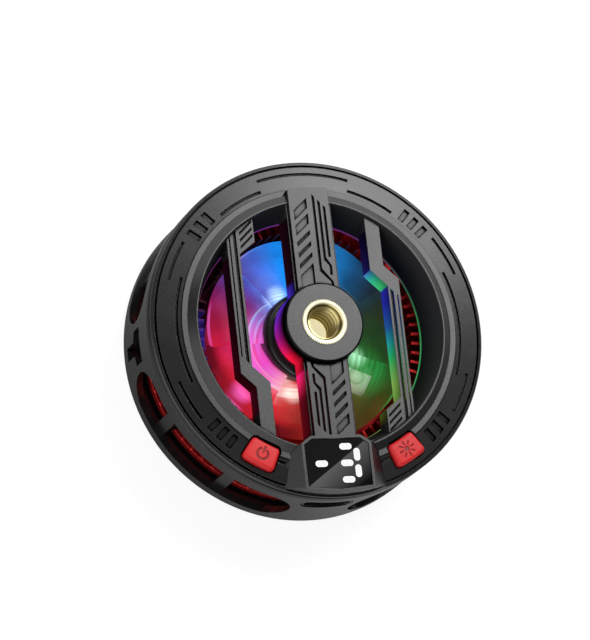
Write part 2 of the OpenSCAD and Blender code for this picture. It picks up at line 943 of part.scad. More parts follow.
module usb_shell() {
    color(steel)
        difference() {
            on_wall(display_a, port_mouth - port_l, port_mouth)
                translate([0, port_z]) rounded_slot(port_w, port_h);
            on_wall(display_a, port_mouth - port_l + port_back, port_mouth + 1)
                translate([0, port_z]) rounded_slot(port_w - 2 * port_wall, port_h - 2 * port_wall);
        }
}

// A slot with nearly round ends, lying along X
module rounded_slot(l, w) {
    corner = w * 0.47;
    translate([-l / 2, corner - w / 2]) square([l, w - 2 * corner]);
    translate([corner - l / 2, -w / 2]) square([l - 2 * corner, w]);
    for (x = [-1, 1])
        for (y = [-1, 1]) translate([x * (l / 2 - corner), y * (w / 2 - corner)]) circle(corner);
}

module usb_tongue() {
    tongue_w = 6.7;
    tongue_t = 0.7;
    tongue_l = 4.9;
    color(black)
        translate([-tongue_w / 2, -port_mouth + port_l - port_back - tongue_l, port_z - tongue_t / 2])
            cube([tongue_w, tongue_l, tongue_t]);
}

// Outline of a vent seen straight on, with ends that are round on the curved wall
module vent_outline() {
    steps = 12;
    half_w = body_r * sin(vent_span / 2);
    end_h = (vent_top - vent_z) / 2;
    end_w = end_h * cos(vent_span / 2);
    mid_z = (vent_top + vent_z) / 2;
    turns = [for (i = [0:steps]) 180 * i / steps];
    end = [for (t = turns) [half_w - end_w * (1 - sin(t)), mid_z - end_h * cos(t)]];
    polygon(concat(end, [for (i = [steps:-1:0]) [-end[i][0], end[i][1]]]));
}

module side_shell() {
    vent_in = shell_r * cos(vent_span / 2) - 1;
    notch_low = notch_z - 0.6;
    slot_w = port_w + 0.5;
    slot_h = port_h + 0.3;
    notch = [
        [-notch_w / 2, notch_z], [-notch_stem_w / 2, notch_low], [-notch_stem_w / 2, vent_z],
        [notch_stem_w / 2, vent_z], [notch_stem_w / 2, notch_low], [notch_w / 2, notch_z],
        [notch_w / 2, notch_top], [-notch_w / 2, notch_top]
    ];
    color(charcoal)
        difference() {
            rotate_extrude()
                polygon([
                    [shell_r, cover_z], [body_r - shell_foot, cover_z],
                    [body_r - foot_in, cover_z + foot_low],
                    [body_r, cover_z + foot_h], [body_r, shell_top - shoulder],
                    [body_r - shoulder_in, shell_top - shoulder_low],
                    [body_r - shadow_depth, shell_top], [shell_r, shell_top],
                    [shell_r, cover_top + fit_gap + shell_ledge_t],
                    [shell_r - shell_ledge_w, cover_top + fit_gap + shell_ledge_t - ledge_slope],
                    [shell_r - shell_ledge_w, cover_top + fit_gap], [shell_r, cover_top + fit_gap]
                ]);
            for (a = vent_mids) on_wall(a, vent_in, body_r + 1) vent_outline();
            for (a = [0, 180]) on_wall(a, shell_r - 1, body_r + 1) polygon(notch);
            on_wall(display_a, shell_r - 1, body_r + 1)
                translate([0, port_z]) rounded_slot(slot_w, slot_h);
        }
}

module vent_posts() {
    post_t = body_r - vent_post_recess - post_in_r;
    color(charcoal)
        for (a = vent_post_angles)
            rotate([0, 0, a])
                translate([post_in_r, -vent_post_w / 2, vent_z])
                    cube([post_t, vent_post_w, vent_top - vent_z]);
}

// Places something at each case screw
module at_case_screws() {
    for (a = case_post_angles) rotate([0, 0, a]) translate([case_post_r, 0, 0]) children();
}

// Places something at each heatsink screw
module at_lugs() {
    for (a = lug_angles) rotate([0, 0, a]) translate([lug_r, 0, 0]) children();
}

module magnet_ring(grow) {
    count = len(magnet_edges);
    for (i = [0:count - 1]) {
        next = i == count - 1 ? 360 : magnet_edges[i + 1];
        sector(magnet_in_r - grow, magnet_out_r + grow, magnet_edges[i] + magnet_gap_a - grow,
            next - magnet_gap_a + grow, magnet_z, cover_top - eps + grow);
    }
}

module back_cover() {
    ledge_z = plate_t - plate_lip_t;
    color(charcoal)
        difference() {
            union() {
                translate([0, 0, cover_z]) cylinder(r = shell_r - fit_gap, h = cover_top - cover_z);
                at_lugs() translate([0, 0, cover_top - eps])
                    cylinder(d = lug_d, h = base_z - cover_top + eps);
            }
            translate([0, 0, -eps]) cylinder(d = plate_d + 2 * fit_gap, h = far);
            translate([0, 0, ledge_z]) cylinder(d = plate_d + 2 * plate_lip_w + 2 * fit_gap, h = far);
            difference() {
                translate([0, 0, -eps]) cylinder(r = pad_out_r + fit_gap, h = pad_t + eps);
                translate([0, 0, -2 * eps]) cylinder(r = pad_in_r - fit_gap, h = 1);
            }
            magnet_ring(fit_gap / 2);
            at_case_screws() {
                cylinder(d = screw_d + screw_play, h = far);
                cylinder(d = screw_head_d + head_play, h = screw_z + screw_head_h);
            }
            at_lugs() {
                cylinder(d = screw_d + screw_play, h = far);
                cylinder(d = screw_head_d + head_play, h = screw_z + screw_head_h);
            }
        }
}

module contact_ring() {
    rib_count = 3;
    rib_pitch = (pad_out_r - pad_in_r) / (rib_count + 1);
    groove_w = 0.5;
    groove_t = 0.2;
    color(black)
        difference() {
            rotate_extrude() translate([pad_in_r, 0]) square([pad_out_r - pad_in_r, pad_t]);
            for (i = [1:rib_count])
                rotate_extrude()
                    translate([pad_in_r + i * rib_pitch - groove_w / 2, -eps])
                        square([groove_w, groove_t + eps]);
        }
}

module cold_plate() {
    color(steel) {
        cylinder(d = plate_d, h = plate_t);
        translate([0, 0, plate_t - plate_lip_t]) cylinder(d = plate_d + 2 * plate_lip_w, h = plate_lip_t);
    }
}

module magnets() {
    color(steel) magnet_ring(0);
}

// A screw from the back: flat head with a cross slot, and a plain shank of length l
module screw(l) {
    slot_w = 0.5;
    slot_l = 2.2;
    slot_t = 0.35;
    difference() {
        union() {
            translate([0, 0, screw_z]) cylinder(d = screw_head_d, h = screw_head_h);
            translate([0, 0, screw_z + screw_head_h - eps]) cylinder(d = screw_d, h = l);
        }
        for (a = [0, 90])
            rotate([0, 0, a])
                translate([-slot_l / 2, -slot_w / 2, screw_z - eps]) cube([slot_l, slot_w, slot_t]);
    }
}

module case_screws() {
    end_gap = 1;
    color(steel) at_case_screws() screw(cover_top + pilot_h - end_gap - screw_z - screw_head_h);
}

module heatsink_screws() {
    end_gap = 0.2;
    color(steel) at_lugs() screw(fins_z - end_gap - screw_z - screw_head_h);
}

module module_cold_face() {
    color(white)
        translate([-module_side / 2, -module_side / 2, module_z])
            cube([module_side, module_side, ceramic_t]);
}

module module_hot_face() {
    color(white)
        translate([-module_side / 2, -module_side / 2, base_z - ceramic_t])
            cube([module_side, module_side, ceramic_t]);
}

module module_pellets() {
    rows = 6;
    edge = 0.9;
    pitch = (module_side - 2 * edge) / rows;
    pellet = pitch * 0.55;
    pellet_h = module_t - 2 * ceramic_t;
    color(dark_grey)
        for (i = [0:rows - 1])
            for (j = [0:rows - 1])
                translate([
                    (i - (rows - 1) / 2) * pitch - pellet / 2, (j - (rows - 1) / 2) * pitch - pellet / 2,
                    module_z + ceramic_t
                ])
                    cube([pellet, pellet, pellet_h]);
}

module foam_gasket() {
    lead_slot = module_lead_d + 4 * fit_gap;
    hole = module_side + 6 * fit_gap;
    color(black)
        difference() {
            translate([0, 0, plate_t]) cylinder(r = plate_d / 2 + plate_lip_w / 2, h = module_t);
            translate([-hole / 2, -hole / 2, 0]) cube([hole, hole, far]);
            for (x = [-module_lead_x, module_lead_x])
                translate([x - lead_slot / 2, -body_r, plate_t - eps]) cube([lead_slot, body_r, far]);
        }
}

module heatsink() {
    color(fin_red)
        difference() {
            union() {
                translate([0, 0, base_z]) cylinder(r = heatsink_r, h = base_t);
                for (a = fin_angles)
                    rotate([0, 0, a])
                        translate([fin_in_r, -fin_t / 2, fins_z - eps])
                            cube([fin_out_r - fin_in_r, fin_t, fin_h + eps]);
            }
            translate([0, 0, base_z - eps]) cylinder(d = bush_d + press_play, h = 2 * base_t);
            at_case_screws() translate([0, 0, base_z - eps])
                cylinder(d = case_post_d + 6 * fit_gap, h = far);
            at_lugs() translate([0, 0, base_z - eps])
                cylinder(d = screw_d + pilot_play, h = base_t - fit_gap);
            for (x = [-module_lead_x, module_lead_x])
                translate([x, module_lead_y, base_z - eps])
                    cylinder(d = module_lead_d + 2 * lead_play, h = 2 * base_t);
        }
}

module motor_board() {
    color(white)
        difference() {
            translate([0, 0, fins_z]) cylinder(r = motor_board_r, h = motor_board_t);
            translate([0, 0, fins_z - eps]) cylinder(d = bush_d + 4 * fit_gap, h = 2 * motor_board_t);
        }
}

module light_chips() {
    lens_d = led_side * 0.78;
    lens_t = 0.15;
    color(white)
        for (i = [0:led_count - 1])
            rotate([0, 0, led_first_a + i * 360 / led_count])
                translate([led_r, 0, motor_board_top])
                    difference() {
                        translate([-led_side / 2, -led_side / 2, 0]) cube([led_side, led_side, led_h]);
                        translate([0, 0, led_h - lens_t]) cylinder(d = lens_d, h = led_h);
                    }
}

module bearing_bush() {
    color(brass)
        difference() {
            translate([0, 0, bush_z]) cylinder(d = bush_d, h = bush_top - bush_z);
            translate([0, 0, bush_z - eps]) cylinder(d = shaft_d + 2 * shaft_play, h = far);
        }
}

module stator_core() {
    shoe_span = 62;
    color(steel)
        difference() {
            union() {
                translate([0, 0, core_z]) cylinder(r = yoke_r, h = core_top - core_z);
                for (i = [0:pole_count - 1])
                    rotate([0, 0, i * 360 / pole_count]) {
                        translate([0, -pole_w / 2, core_z])
                            cube([core_r - shoe_t / 2, pole_w, core_top - core_z]);
                        sector(core_r - shoe_t, core_r, -shoe_span / 2, shoe_span / 2, core_z, core_top);
                    }
            }
            translate([0, 0, core_z - eps]) cylinder(d = bush_d + press_play, h = far);
        }
}

module stator_coils() {
    coil_in = yoke_r + fit_gap;
    coil_w = pole_w + 2 * coil_wrap;
    wire_gap = 0.05;
    color(brass)
        for (i = [0:pole_count - 1])
            rotate([0, 0, i * 360 / pole_count])
                difference() {
                    intersection() {
                        translate([coil_in, -pole_w / 2 - coil_wrap, core_z - coil_wrap])
                            cube([coil_l + shoe_t, coil_w, core_top - core_z + 2 * coil_wrap]);
                        translate([0, 0, core_z - coil_wrap - eps])
                            cylinder(r = coil_in + coil_l, h = core_top - core_z + 2 * coil_wrap + 2 * eps);
                    }
                    translate([0, -pole_w / 2 - wire_gap, core_z - wire_gap])
                        cube([core_r, pole_w + 2 * wire_gap, core_top - core_z + 2 * wire_gap]);
                }
}

// One blade: a swept plate tilted about its own radius
module blade() {
    root = 3.7;
    tip = 8.2;
    sweep = 1;
    sink = 0.5;
    mid_z = (blade_low + fan_top) / 2;
    translate([0, 0, mid_z])
        rotate([blade_pitch, 0, 0])
            translate([0, 0, -blade_t / 2])
                linear_extrude(blade_t)
                    polygon([
                        [fan_hub_d / 2 - sink, -root], [fan_d / 2 + sink, -tip + sweep],
                        [fan_d / 2 + sink, tip + sweep], [fan_hub_d / 2 - sink, root]
                    ]);
}

module impeller() {
    cup_r = fan_hub_d / 2 - fan_wall;
    color(white) {
        difference() {
            union() {
                translate([0, 0, fan_skirt_z]) cylinder(d = fan_hub_d, h = fan_top - fan_skirt_z);
                intersection() {
                    translate([0, 0, blade_low]) cylinder(d = fan_d, h = fan_top - blade_low);
                    for (i = [0:blade_count - 1]) rotate([0, 0, i * 360 / blade_count]) blade();
                }
            }
            difference() {
                translate([0, 0, fan_skirt_z - eps])
                    cylinder(r = cup_r, h = fan_top - fan_cap_t - fan_skirt_z);
                translate([0, 0, bush_top + fan_boss_gap]) cylinder(d = fan_boss_d, h = far);
            }
            cylinder(d = shaft_d + press_play / 2, h = fan_top - shaft_cover);
        }
    }
}

module rotor_magnet() {
    out_r = fan_hub_d / 2 - fan_wall - magnet_play;
    magnet_low = fan_skirt_z + 0.3;
    magnet_high = core_top + 0.9;
    color(dark_grey)
        difference() {
            translate([0, 0, magnet_low]) cylinder(r = out_r, h = magnet_high - magnet_low);
            translate([0, 0, fan_skirt_z]) cylinder(r = out_r - magnet_t, h = far);
        }
}

module rotor_shaft() {
    low = bush_z + shaft_lift;
    color(steel) translate([0, 0, low]) cylinder(d = shaft_d, h = fan_top - shaft_cover - low);
}

// A flat wire that runs out along -Y at height z and turns up at y to the board
module lead(x, y, d, start_y, z) {
    translate([x - d / 2, 0, 0])
        rotate([90, 0, 90])
            linear_extrude(d) {
                translate([y + bend_r, z - d / 2]) square([start_y - y - bend_r, d]);
                translate([y - d / 2, z + bend_r]) square([d, board_z - z - bend_r]);
                translate([y + bend_r, z + bend_r]) sector_2d(bend_r - d / 2, bend_r + d / 2, 180, 270);
            }
}

module module_leads() {
    start_y = -(module_side + fit_gap) / 2;
    z = cover_top + fit_gap + module_lead_d / 2;
    color(button_red)
        for (x = [-module_lead_x, module_lead_x]) lead(x, module_lead_y, module_lead_d, start_y, z);
}

module fan_leads() {
    overlap = 1.5;
    start_y = overlap - sqrt(motor_board_r * motor_board_r - fan_lead_x * fan_lead_x);
    color(dark_grey)
        for (x = [-fan_lead_x, fan_lead_x])
            lead(x, fan_lead_y, fan_lead_d, start_y, motor_board_top + fan_lead_d / 2);
}

front_ring();
centre_bridge();
threaded_insert();
display_window();
display_segments();
display_module();
display_pins();
power_button();
light_button();
power_plunger();
light_plunger();
power_switch();
light_switch();
main_board();
board_chips();
usb_shell();
usb_tongue();
side_shell();
vent_posts();
back_cover();
contact_ring();
cold_plate();
magnets();
case_screws();
heatsink_screws();
module_cold_face();
module_pellets();
module_hot_face();
foam_gasket();
heatsink();
motor_board();
light_chips();
bearing_bush();
stator_core();
stator_coils();
impeller();
rotor_magnet();
rotor_shaft();
module_leads();
fan_leads();
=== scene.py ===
import math

import bmesh
import bpy
from mathutils import Matrix, Vector


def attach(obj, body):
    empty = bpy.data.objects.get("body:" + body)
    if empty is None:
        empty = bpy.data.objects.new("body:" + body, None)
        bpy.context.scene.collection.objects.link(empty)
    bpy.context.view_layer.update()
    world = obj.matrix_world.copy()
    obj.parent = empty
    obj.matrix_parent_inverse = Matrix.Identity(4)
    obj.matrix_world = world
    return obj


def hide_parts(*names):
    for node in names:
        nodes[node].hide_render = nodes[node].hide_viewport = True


MM = 0.001
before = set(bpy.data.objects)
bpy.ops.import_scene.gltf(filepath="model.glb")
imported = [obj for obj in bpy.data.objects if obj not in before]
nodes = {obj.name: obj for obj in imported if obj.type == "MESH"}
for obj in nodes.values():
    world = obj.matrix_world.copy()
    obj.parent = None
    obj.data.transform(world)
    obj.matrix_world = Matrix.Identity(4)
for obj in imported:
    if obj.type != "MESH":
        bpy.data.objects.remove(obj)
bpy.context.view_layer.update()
scene = bpy.context.scene


# Small helpers for materials


class Shader:
    """A node material with a Principled shader, and short calls to add nodes to it."""

    def __init__(self, name):
        self.mat = bpy.data.materials.new(name)
        self.mat.use_nodes = True
        self.tree = self.mat.node_tree
        self.bsdf = self.tree.nodes["Principled BSDF"]
        self.place = self.add("ShaderNodeTexCoord").outputs["Object"]

    def add(self, kind, **values):
        """A new node with these settings."""
        node = self.tree.nodes.new(kind)
        for key, value in values.items():
            setattr(node, key, value)
        return node

    def link(self, a, b):
        self.tree.links.new(a, b)

    def put(self, **values):
        """Sets sockets of the shader itself. An underscore in a name stands for a space."""
        for key, value in values.items():
            self.bsdf.inputs[key.replace("_", " ")].default_value = value

    def to(self, **links):
        """Links sockets of the shader itself, named in the same way."""
        for key, value in links.items():
            self.link(value, self.bsdf.inputs[key.replace("_", " ")])

    def feed(self, socket, value):
        """Links a socket, or sets a plain value on it."""
        if isinstance(value, bpy.types.NodeSocket):
            self.link(value, socket)
        else:
            socket.default_value = value

    def math(self, op, a, b=0.0, clamp=False):
        node = self.add("ShaderNodeMath", operation=op, use_clamp=clamp)
        for socket, value in zip(node.inputs, (a, b)):
            self.feed(socket, value)
        return node.outputs[0]

    def product(self, first, *others, clamp=False):
        """The values multiplied together. The last step may be clamped to 0 to 1."""
        for other in others[:-1]:
            first = self.math("MULTIPLY", first, other)
        return self.math("MULTIPLY", first, others[-1], clamp=clamp)

    def vec(self, op, a, b=(0, 0, 0)):
        node = self.add("ShaderNodeVectorMath", operation=op)
        self.feed(node.inputs[0], a)
        self.feed(node.inputs[1], b)
        return node.outputs["Value"] if op in ("DISTANCE", "DOT_PRODUCT") else node.outputs[0]

    def xyz(self, vector):
        """The three numbers of a vector."""
        node = self.add("ShaderNodeSeparateXYZ")
        self.link(vector, node.inputs[0])
        return node.outputs

    def noise(self, scale, detail=3.0, rough=0.5, at=None, stretch=None):
        node = self.add("ShaderNodeTexNoise")
        vector = at if at is not None else self.place
        if stretch is not None:
            vector = self.vec("MULTIPLY", vector, stretch)
        self.link(vector, node.inputs["Vector"])
        node.inputs["Scale"].default_value = scale
        node.inputs["Detail"].default_value = detail
        node.inputs["Roughness"].default_value = rough
        return node.outputs["Fac"]

    def ramp(self, fac, stops, mode="LINEAR"):
        """Colours by a value, given as pairs of value and colour."""
        node = self.add("ShaderNodeValToRGB")
        node.color_ramp.interpolation = mode
        points = node.color_ramp.elements
        while len(points) > 1:
            points.remove(points[-1])
        for i, (where, colour) in enumerate(stops):
            spot = points[0] if i == 0 else points.new(where)
            spot.position = where
            spot.color = (*colour, 1.0)
        self.feed(node.inputs[0], fac)
        return node.outputs[0]

    def greys(self, fac, stops, mode="LINEAR"):
        """A ramp of greys, given as pairs of value and grey."""
        return self.ramp(fac, [(where, (grey, grey, grey)) for where, grey in stops], mode)

    def span(self, value, a, b, lo, hi, smooth=False):
        """Maps a to lo and b to hi, and stays between them."""
        node = self.add("ShaderNodeMapRange")
        node.interpolation_type = "SMOOTHSTEP" if smooth else "LINEAR"
        for socket, v in zip(node.inputs[:5], (value, a, b, lo, hi)):
            self.feed(socket, v)
        return node.outputs[0]

    def mix(self, fac, a, b, mode="MIX"):
        node = self.add("ShaderNodeMix", data_type="RGBA", blend_type=mode)
        self.feed(node.inputs[0], fac)
        for socket, value in ((node.inputs[6], a), (node.inputs[7], b)):
            self.feed(socket, (*value, 1.0) if isinstance(value, tuple) else value)
        return node.outputs[2]

    def bump(self, height, strength, distance, under=None):
        node = self.add("ShaderNodeBump")
        node.inputs["Strength"].default_value = strength
        node.inputs["Distance"].default_value = distance
        self.link(height, node.inputs["Height"])
        if under is not None:
            self.link(under, node.inputs["Normal"])
        return node.outputs["Normal"]

    def soft_edge(self, radius, samples):
        """A normal with rounded edges, its likeness to the true one (1 on flat faces), and the true one."""
        bevel = self.add("ShaderNodeBevel", samples=samples)
        bevel.inputs["Radius"].default_value = radius
        true = self.add("ShaderNodeNewGeometry").outputs["Normal"]
        return bevel.outputs[0], self.vec("DOT_PRODUCT", bevel.outputs[0], true), true


def scaled(colour, factor):
    return tuple(factor * c for c in colour)


def grained(name, dark, light, rough, grain=5200, depth=0.000012, **values):
    """Moulded plastic: a faint cloud in its colour, uneven gloss and a fine grain."""
    s = Shader(name)
    s.put(**values)
    cloud = s.noise(160, 4, 0.6)
    fine = s.noise(grain, 2, 0.6)
    speck = s.math("ADD", s.math("MULTIPLY", cloud, 0.55), s.math("MULTIPLY", fine, 0.45))
    s.to(Base_Color=s.ramp(speck, [(0.3, dark), (0.7, light)]))
    uneven = s.math("ADD", cloud, s.math("MULTIPLY", fine, 0.4))
    s.to(Roughness=s.span(uneven, 0.3, 1.1, *rough))
    s.to(Normal=s.bump(fine, 0.5, depth))
    return s.mat


# Housing plastic: the rounding of its edges and the reach of the shade in its grooves, in metres
EDGE_ROUND, GROOVE_REACH = 0.00009, 0.0008
# Openness at which the painted shade makes a groove black, and at which a face is plain, without it
GROOVE_FULL_SHADE, FACE_UNSHADED = 0.65, 0.86
# How many times lighter the painted highlight on an edge is, and how much of that shows
EDGE_HIGHLIGHT_LIGHTER, EDGE_HIGHLIGHT_SHARE = 7, 0.6
# Specular level in grooves, lowered there as painted shade, and on plain faces
GROOVE_SHADED_GLOSS, FACE_GLOSS = 0.03, 0.5
# Painted shade on grooves, inner walls and the hub's chamfer: their colour as shares of the dark colour
GROOVE_SHADE_SHARE, WALL_SHADE_SHARE, CHAMFER_SHADE_SHARE = 0.1, 0.25, 0.2
# Painted sheen on the duct's wall: its lighter grey, and the radii in millimetres between which it sets in
DUCT_SHEEN_GREY, DUCT_R = (0.026, 0.026, 0.027), (19.6, 20.0)


def moulded(name, dark, light, rough, glow=False):
    """Housing plastic: fine grain, painted shade that turns grooves black and painted highlights on edges;
    with glow, also the fan's light painted on its walls, painted shade on the inner walls and the hub's
    chamfer, and a painted sheen on the duct's wall.
    """
    s = Shader(name)
    cloud = s.noise(140, 4, 0.6)
    fine = s.noise(6500, 2, 0.7)
    speck = s.math("ADD", s.math("MULTIPLY", cloud, 0.5), s.math("MULTIPLY", fine, 0.5))
    colour = s.ramp(speck, [(0.3, dark), (0.7, light)])
    rounded, likeness, true = s.soft_edge(EDGE_ROUND, 4)
    # Painted highlight along the edges, where the rounded normal turns away from the true one
    edge = s.span(likeness, 0.995, 0.80, 0.0, 1.0)
    # Painted shade in the grooves: where little is open round a place, its colour darkens and its gloss
    # drops
    around = s.add("ShaderNodeAmbientOcclusion", samples=6, only_local=True)
    around.inputs["Distance"].default_value = GROOVE_REACH
    plain = s.span(around.outputs["AO"], GROOVE_FULL_SHADE, FACE_UNSHADED, 0.0, 1.0)
    colour = s.mix(s.product(edge, plain, EDGE_HIGHLIGHT_SHARE), colour, scaled(light, EDGE_HIGHLIGHT_LIGHTER))
    colour = s.mix(plain, scaled(dark, GROOVE_SHADE_SHARE), colour)
    gloss = s.span(plain, 0.0, 1.0, GROOVE_SHADED_GLOSS, FACE_GLOSS)
    uneven = s.math("ADD", cloud, s.math("MULTIPLY", fine, 0.5))
    s.to(Roughness=s.span(uneven, 0.3, 1.2, *rough))
    s.to(Normal=s.bump(fine, 0.35, 0.000006, rounded))
    if glow:
        colours, inner = wall_glow(s, true)
        s.to(Emission_Color=colours)
        s.put(Emission_Strength=1.0)
        # Painted shade on the upright walls inside the ring, which lose their gloss and darken; the duct's
        # wall gets a lighter grey as painted sheen
        gloss = s.math("MULTIPLY", gloss, s.span(inner, 0.0, 1.0, 1.0, 0.0))
        duct = s.span(polar(s)[0], *DUCT_R, 0.0, 1.0)
        colour = s.mix(inner, colour, s.mix(duct, scaled(dark, WALL_SHADE_SHARE), DUCT_SHEEN_GREY))
        # Painted shade on the chamfer round the top of the hub: darker, with little gloss
        chamfer = hub_chamfer_shade(s)
        colour = s.mix(chamfer, colour, scaled(dark, CHAMFER_SHADE_SHARE))
        gloss = s.math("MULTIPLY", gloss, s.span(chamfer, 0.0, 1.0, 1.0, 0.1))
    s.to(Base_Color=colour)
    s.to(Specular_IOR_Level=gloss)
    return s.mat


def metal(name, dark, light, rough, stretch=(1, 1, 1), scale=900):
    """Worked metal: fine drawn lines in its colour and gloss."""
    s = Shader(name)
    s.put(Metallic=1.0)
    lines = s.noise(scale, 4, 0.65, stretch=stretch)
    s.to(Base_Color=s.ramp(lines, [(0.25, dark), (0.75, light)]))
    s.to(Roughness=s.span(lines, 0.25, 0.75, *rough))
    s.to(Normal=s.bump(lines, 0.25, 0.00001))
    return s.mat


# Glow of the light chips, by the place on the part


# Direction in degrees and strength of each chip, their distance from the axis and their height
LED_ANGLES = [113, 185, 257, 329, 41]
LED_POWER = [0.30, 0.08, 0.15, 2.0, 0.3]
LED_R, LED_Z = 11.5 * MM, 7.8 * MM
# Radius in millimetres that counts as 1 in the fan's ramps, and the middle of the swirl on it
GLOW_R = 20.0
SWIRL_MIDDLE = (-2.0 * MM, -1.5 * MM, 0)
# Spots of light on the fan: angle, radius and reach in millimetres, strength, colour
SPOTS = [
    (113, 11.5, 5.8, 0.10, (0.02, 0.30, 1.0)),
    (121, 9.0, 2.5, 0.85, (0.70, 0.95, 1.0)),
    (185, 11.5, 5.8, 0.08, (0.85, 0.02, 0.75)),
    (216, 15.8, 2.9, 0.75, (1.0, 0.20, 0.85)),
    (251, 10.3, 2.2, 1.0, (0.95, 0.95, 0.85)),
    (257, 11.5, 5.8, 0.05, (1.0, 0.03, 0.02)),
    (329, 11.5, 5.8, 0.32, (0.03, 0.85, 0.18)),
    (338, 9.3, 2.6, 0.75, (0.55, 1.0, 0.72)),
    (41, 11.5, 5.8, 0.05, (0.0, 0.22, 0.42)),
]
SPOT_CORE = 0.4 * MM
# A pair below holds the two values between which a zone fades. Radii are in millimetres from the axis.
# On the fan: its shaded low part with that part's colour, and the lit line near the blades' tips
SHADE_Z, SHADE_R, SHADE_COLOUR = (10.4 * MM, 12.8 * MM), (15.2, 16.8), (0.055, 0.002, 0.006)
TIP_R, TIP_OFF, TIP_Z = 18.0, (0.10, 0.26), (11.6 * MM, 12.4 * MM)
# On the housing: upright walls by their slope, the lit opening, and all walls inside the ring, which get
# painted shade, and the duct's wall a painted sheen
UPRIGHT, OPENING_R, INNER_R = (0.25, 0.6), (19.2, 20.2), (22.05, 22.12)
# Where the bars start outside the hub, and the heights over which bars and hub lose the light
BAR_R, BAR_GLOW_Z, HUB_GLOW_Z = (8.6, 9.2), (14.5 * MM, 20.8 * MM), (16.8 * MM, 20.4 * MM)
# Walls of the stepped bars that face one way, by their slope, and where these start
SLANT_Y, SLANT_R = (-0.3, -0.5), (9.5, 10.5)
# The lit line round the duct, and the painted shade on the chamfer round the top of the hub
LINE_R, LINE_OFF, LINE_Z = 20.45, (0.05, 0.14), (13.4 * MM, 13.9 * MM)
CHAMFER_IN, CHAMFER_OUT, CHAMFER_Z = (6.78, 6.86), (7.3, 7.4), (21.5 * MM, 21.6 * MM)


def polar(s):
    """Radius in millimetres and turn, from 0 to 1, of a place seen from above."""
    x, y, _ = s.xyz(s.place)
    radius = s.math("SQRT", s.math("ADD", s.math("MULTIPLY", x, x), s.math("MULTIPLY", y, y)))
    turn = s.math("DIVIDE", s.math("ARCTAN2", y, x), 2 * math.pi)
    return s.math("DIVIDE", radius, MM), s.math("FRACT", s.math("ADD", turn, 1.0))


def off_radius(s, radius, middle):
    """How far a place is from a ring of this radius."""
    return s.math("ABSOLUTE", s.math("SUBTRACT", radius, middle))


def hue_of(s, turn):
    """Colour of the lights by direction: azure, violet, crimson, red, olive, green, deep teal."""
    return s.ramp(turn, [
        (0.00, (0.016, 0.055, 0.015)), (0.05, (0.018, 0.032, 0.015)), (0.09, (0.014, 0.034, 0.05)),
        (0.135, (0.009, 0.075, 0.20)), (0.17, (0.013, 0.20, 0.56)), (0.29, (0.010, 0.27, 0.97)),
        (0.33, (0.07, 0.16, 0.74)), (0.37, (0.09, 0.07, 0.42)), (0.41, (0.24, 0.016, 0.16)),
        (0.46, (0.42, 0.010, 0.06)), (0.54, (0.70, 0.012, 0.04)), (0.65, (0.72, 0.016, 0.03)),
        (0.72, (0.40, 0.018, 0.014)), (0.80, (0.095, 0.05, 0.010)), (0.86, (0.060, 0.062, 0.010)),
        (0.92, (0.022, 0.085, 0.010)), (1.00, (0.016, 0.055, 0.015)),
    ])


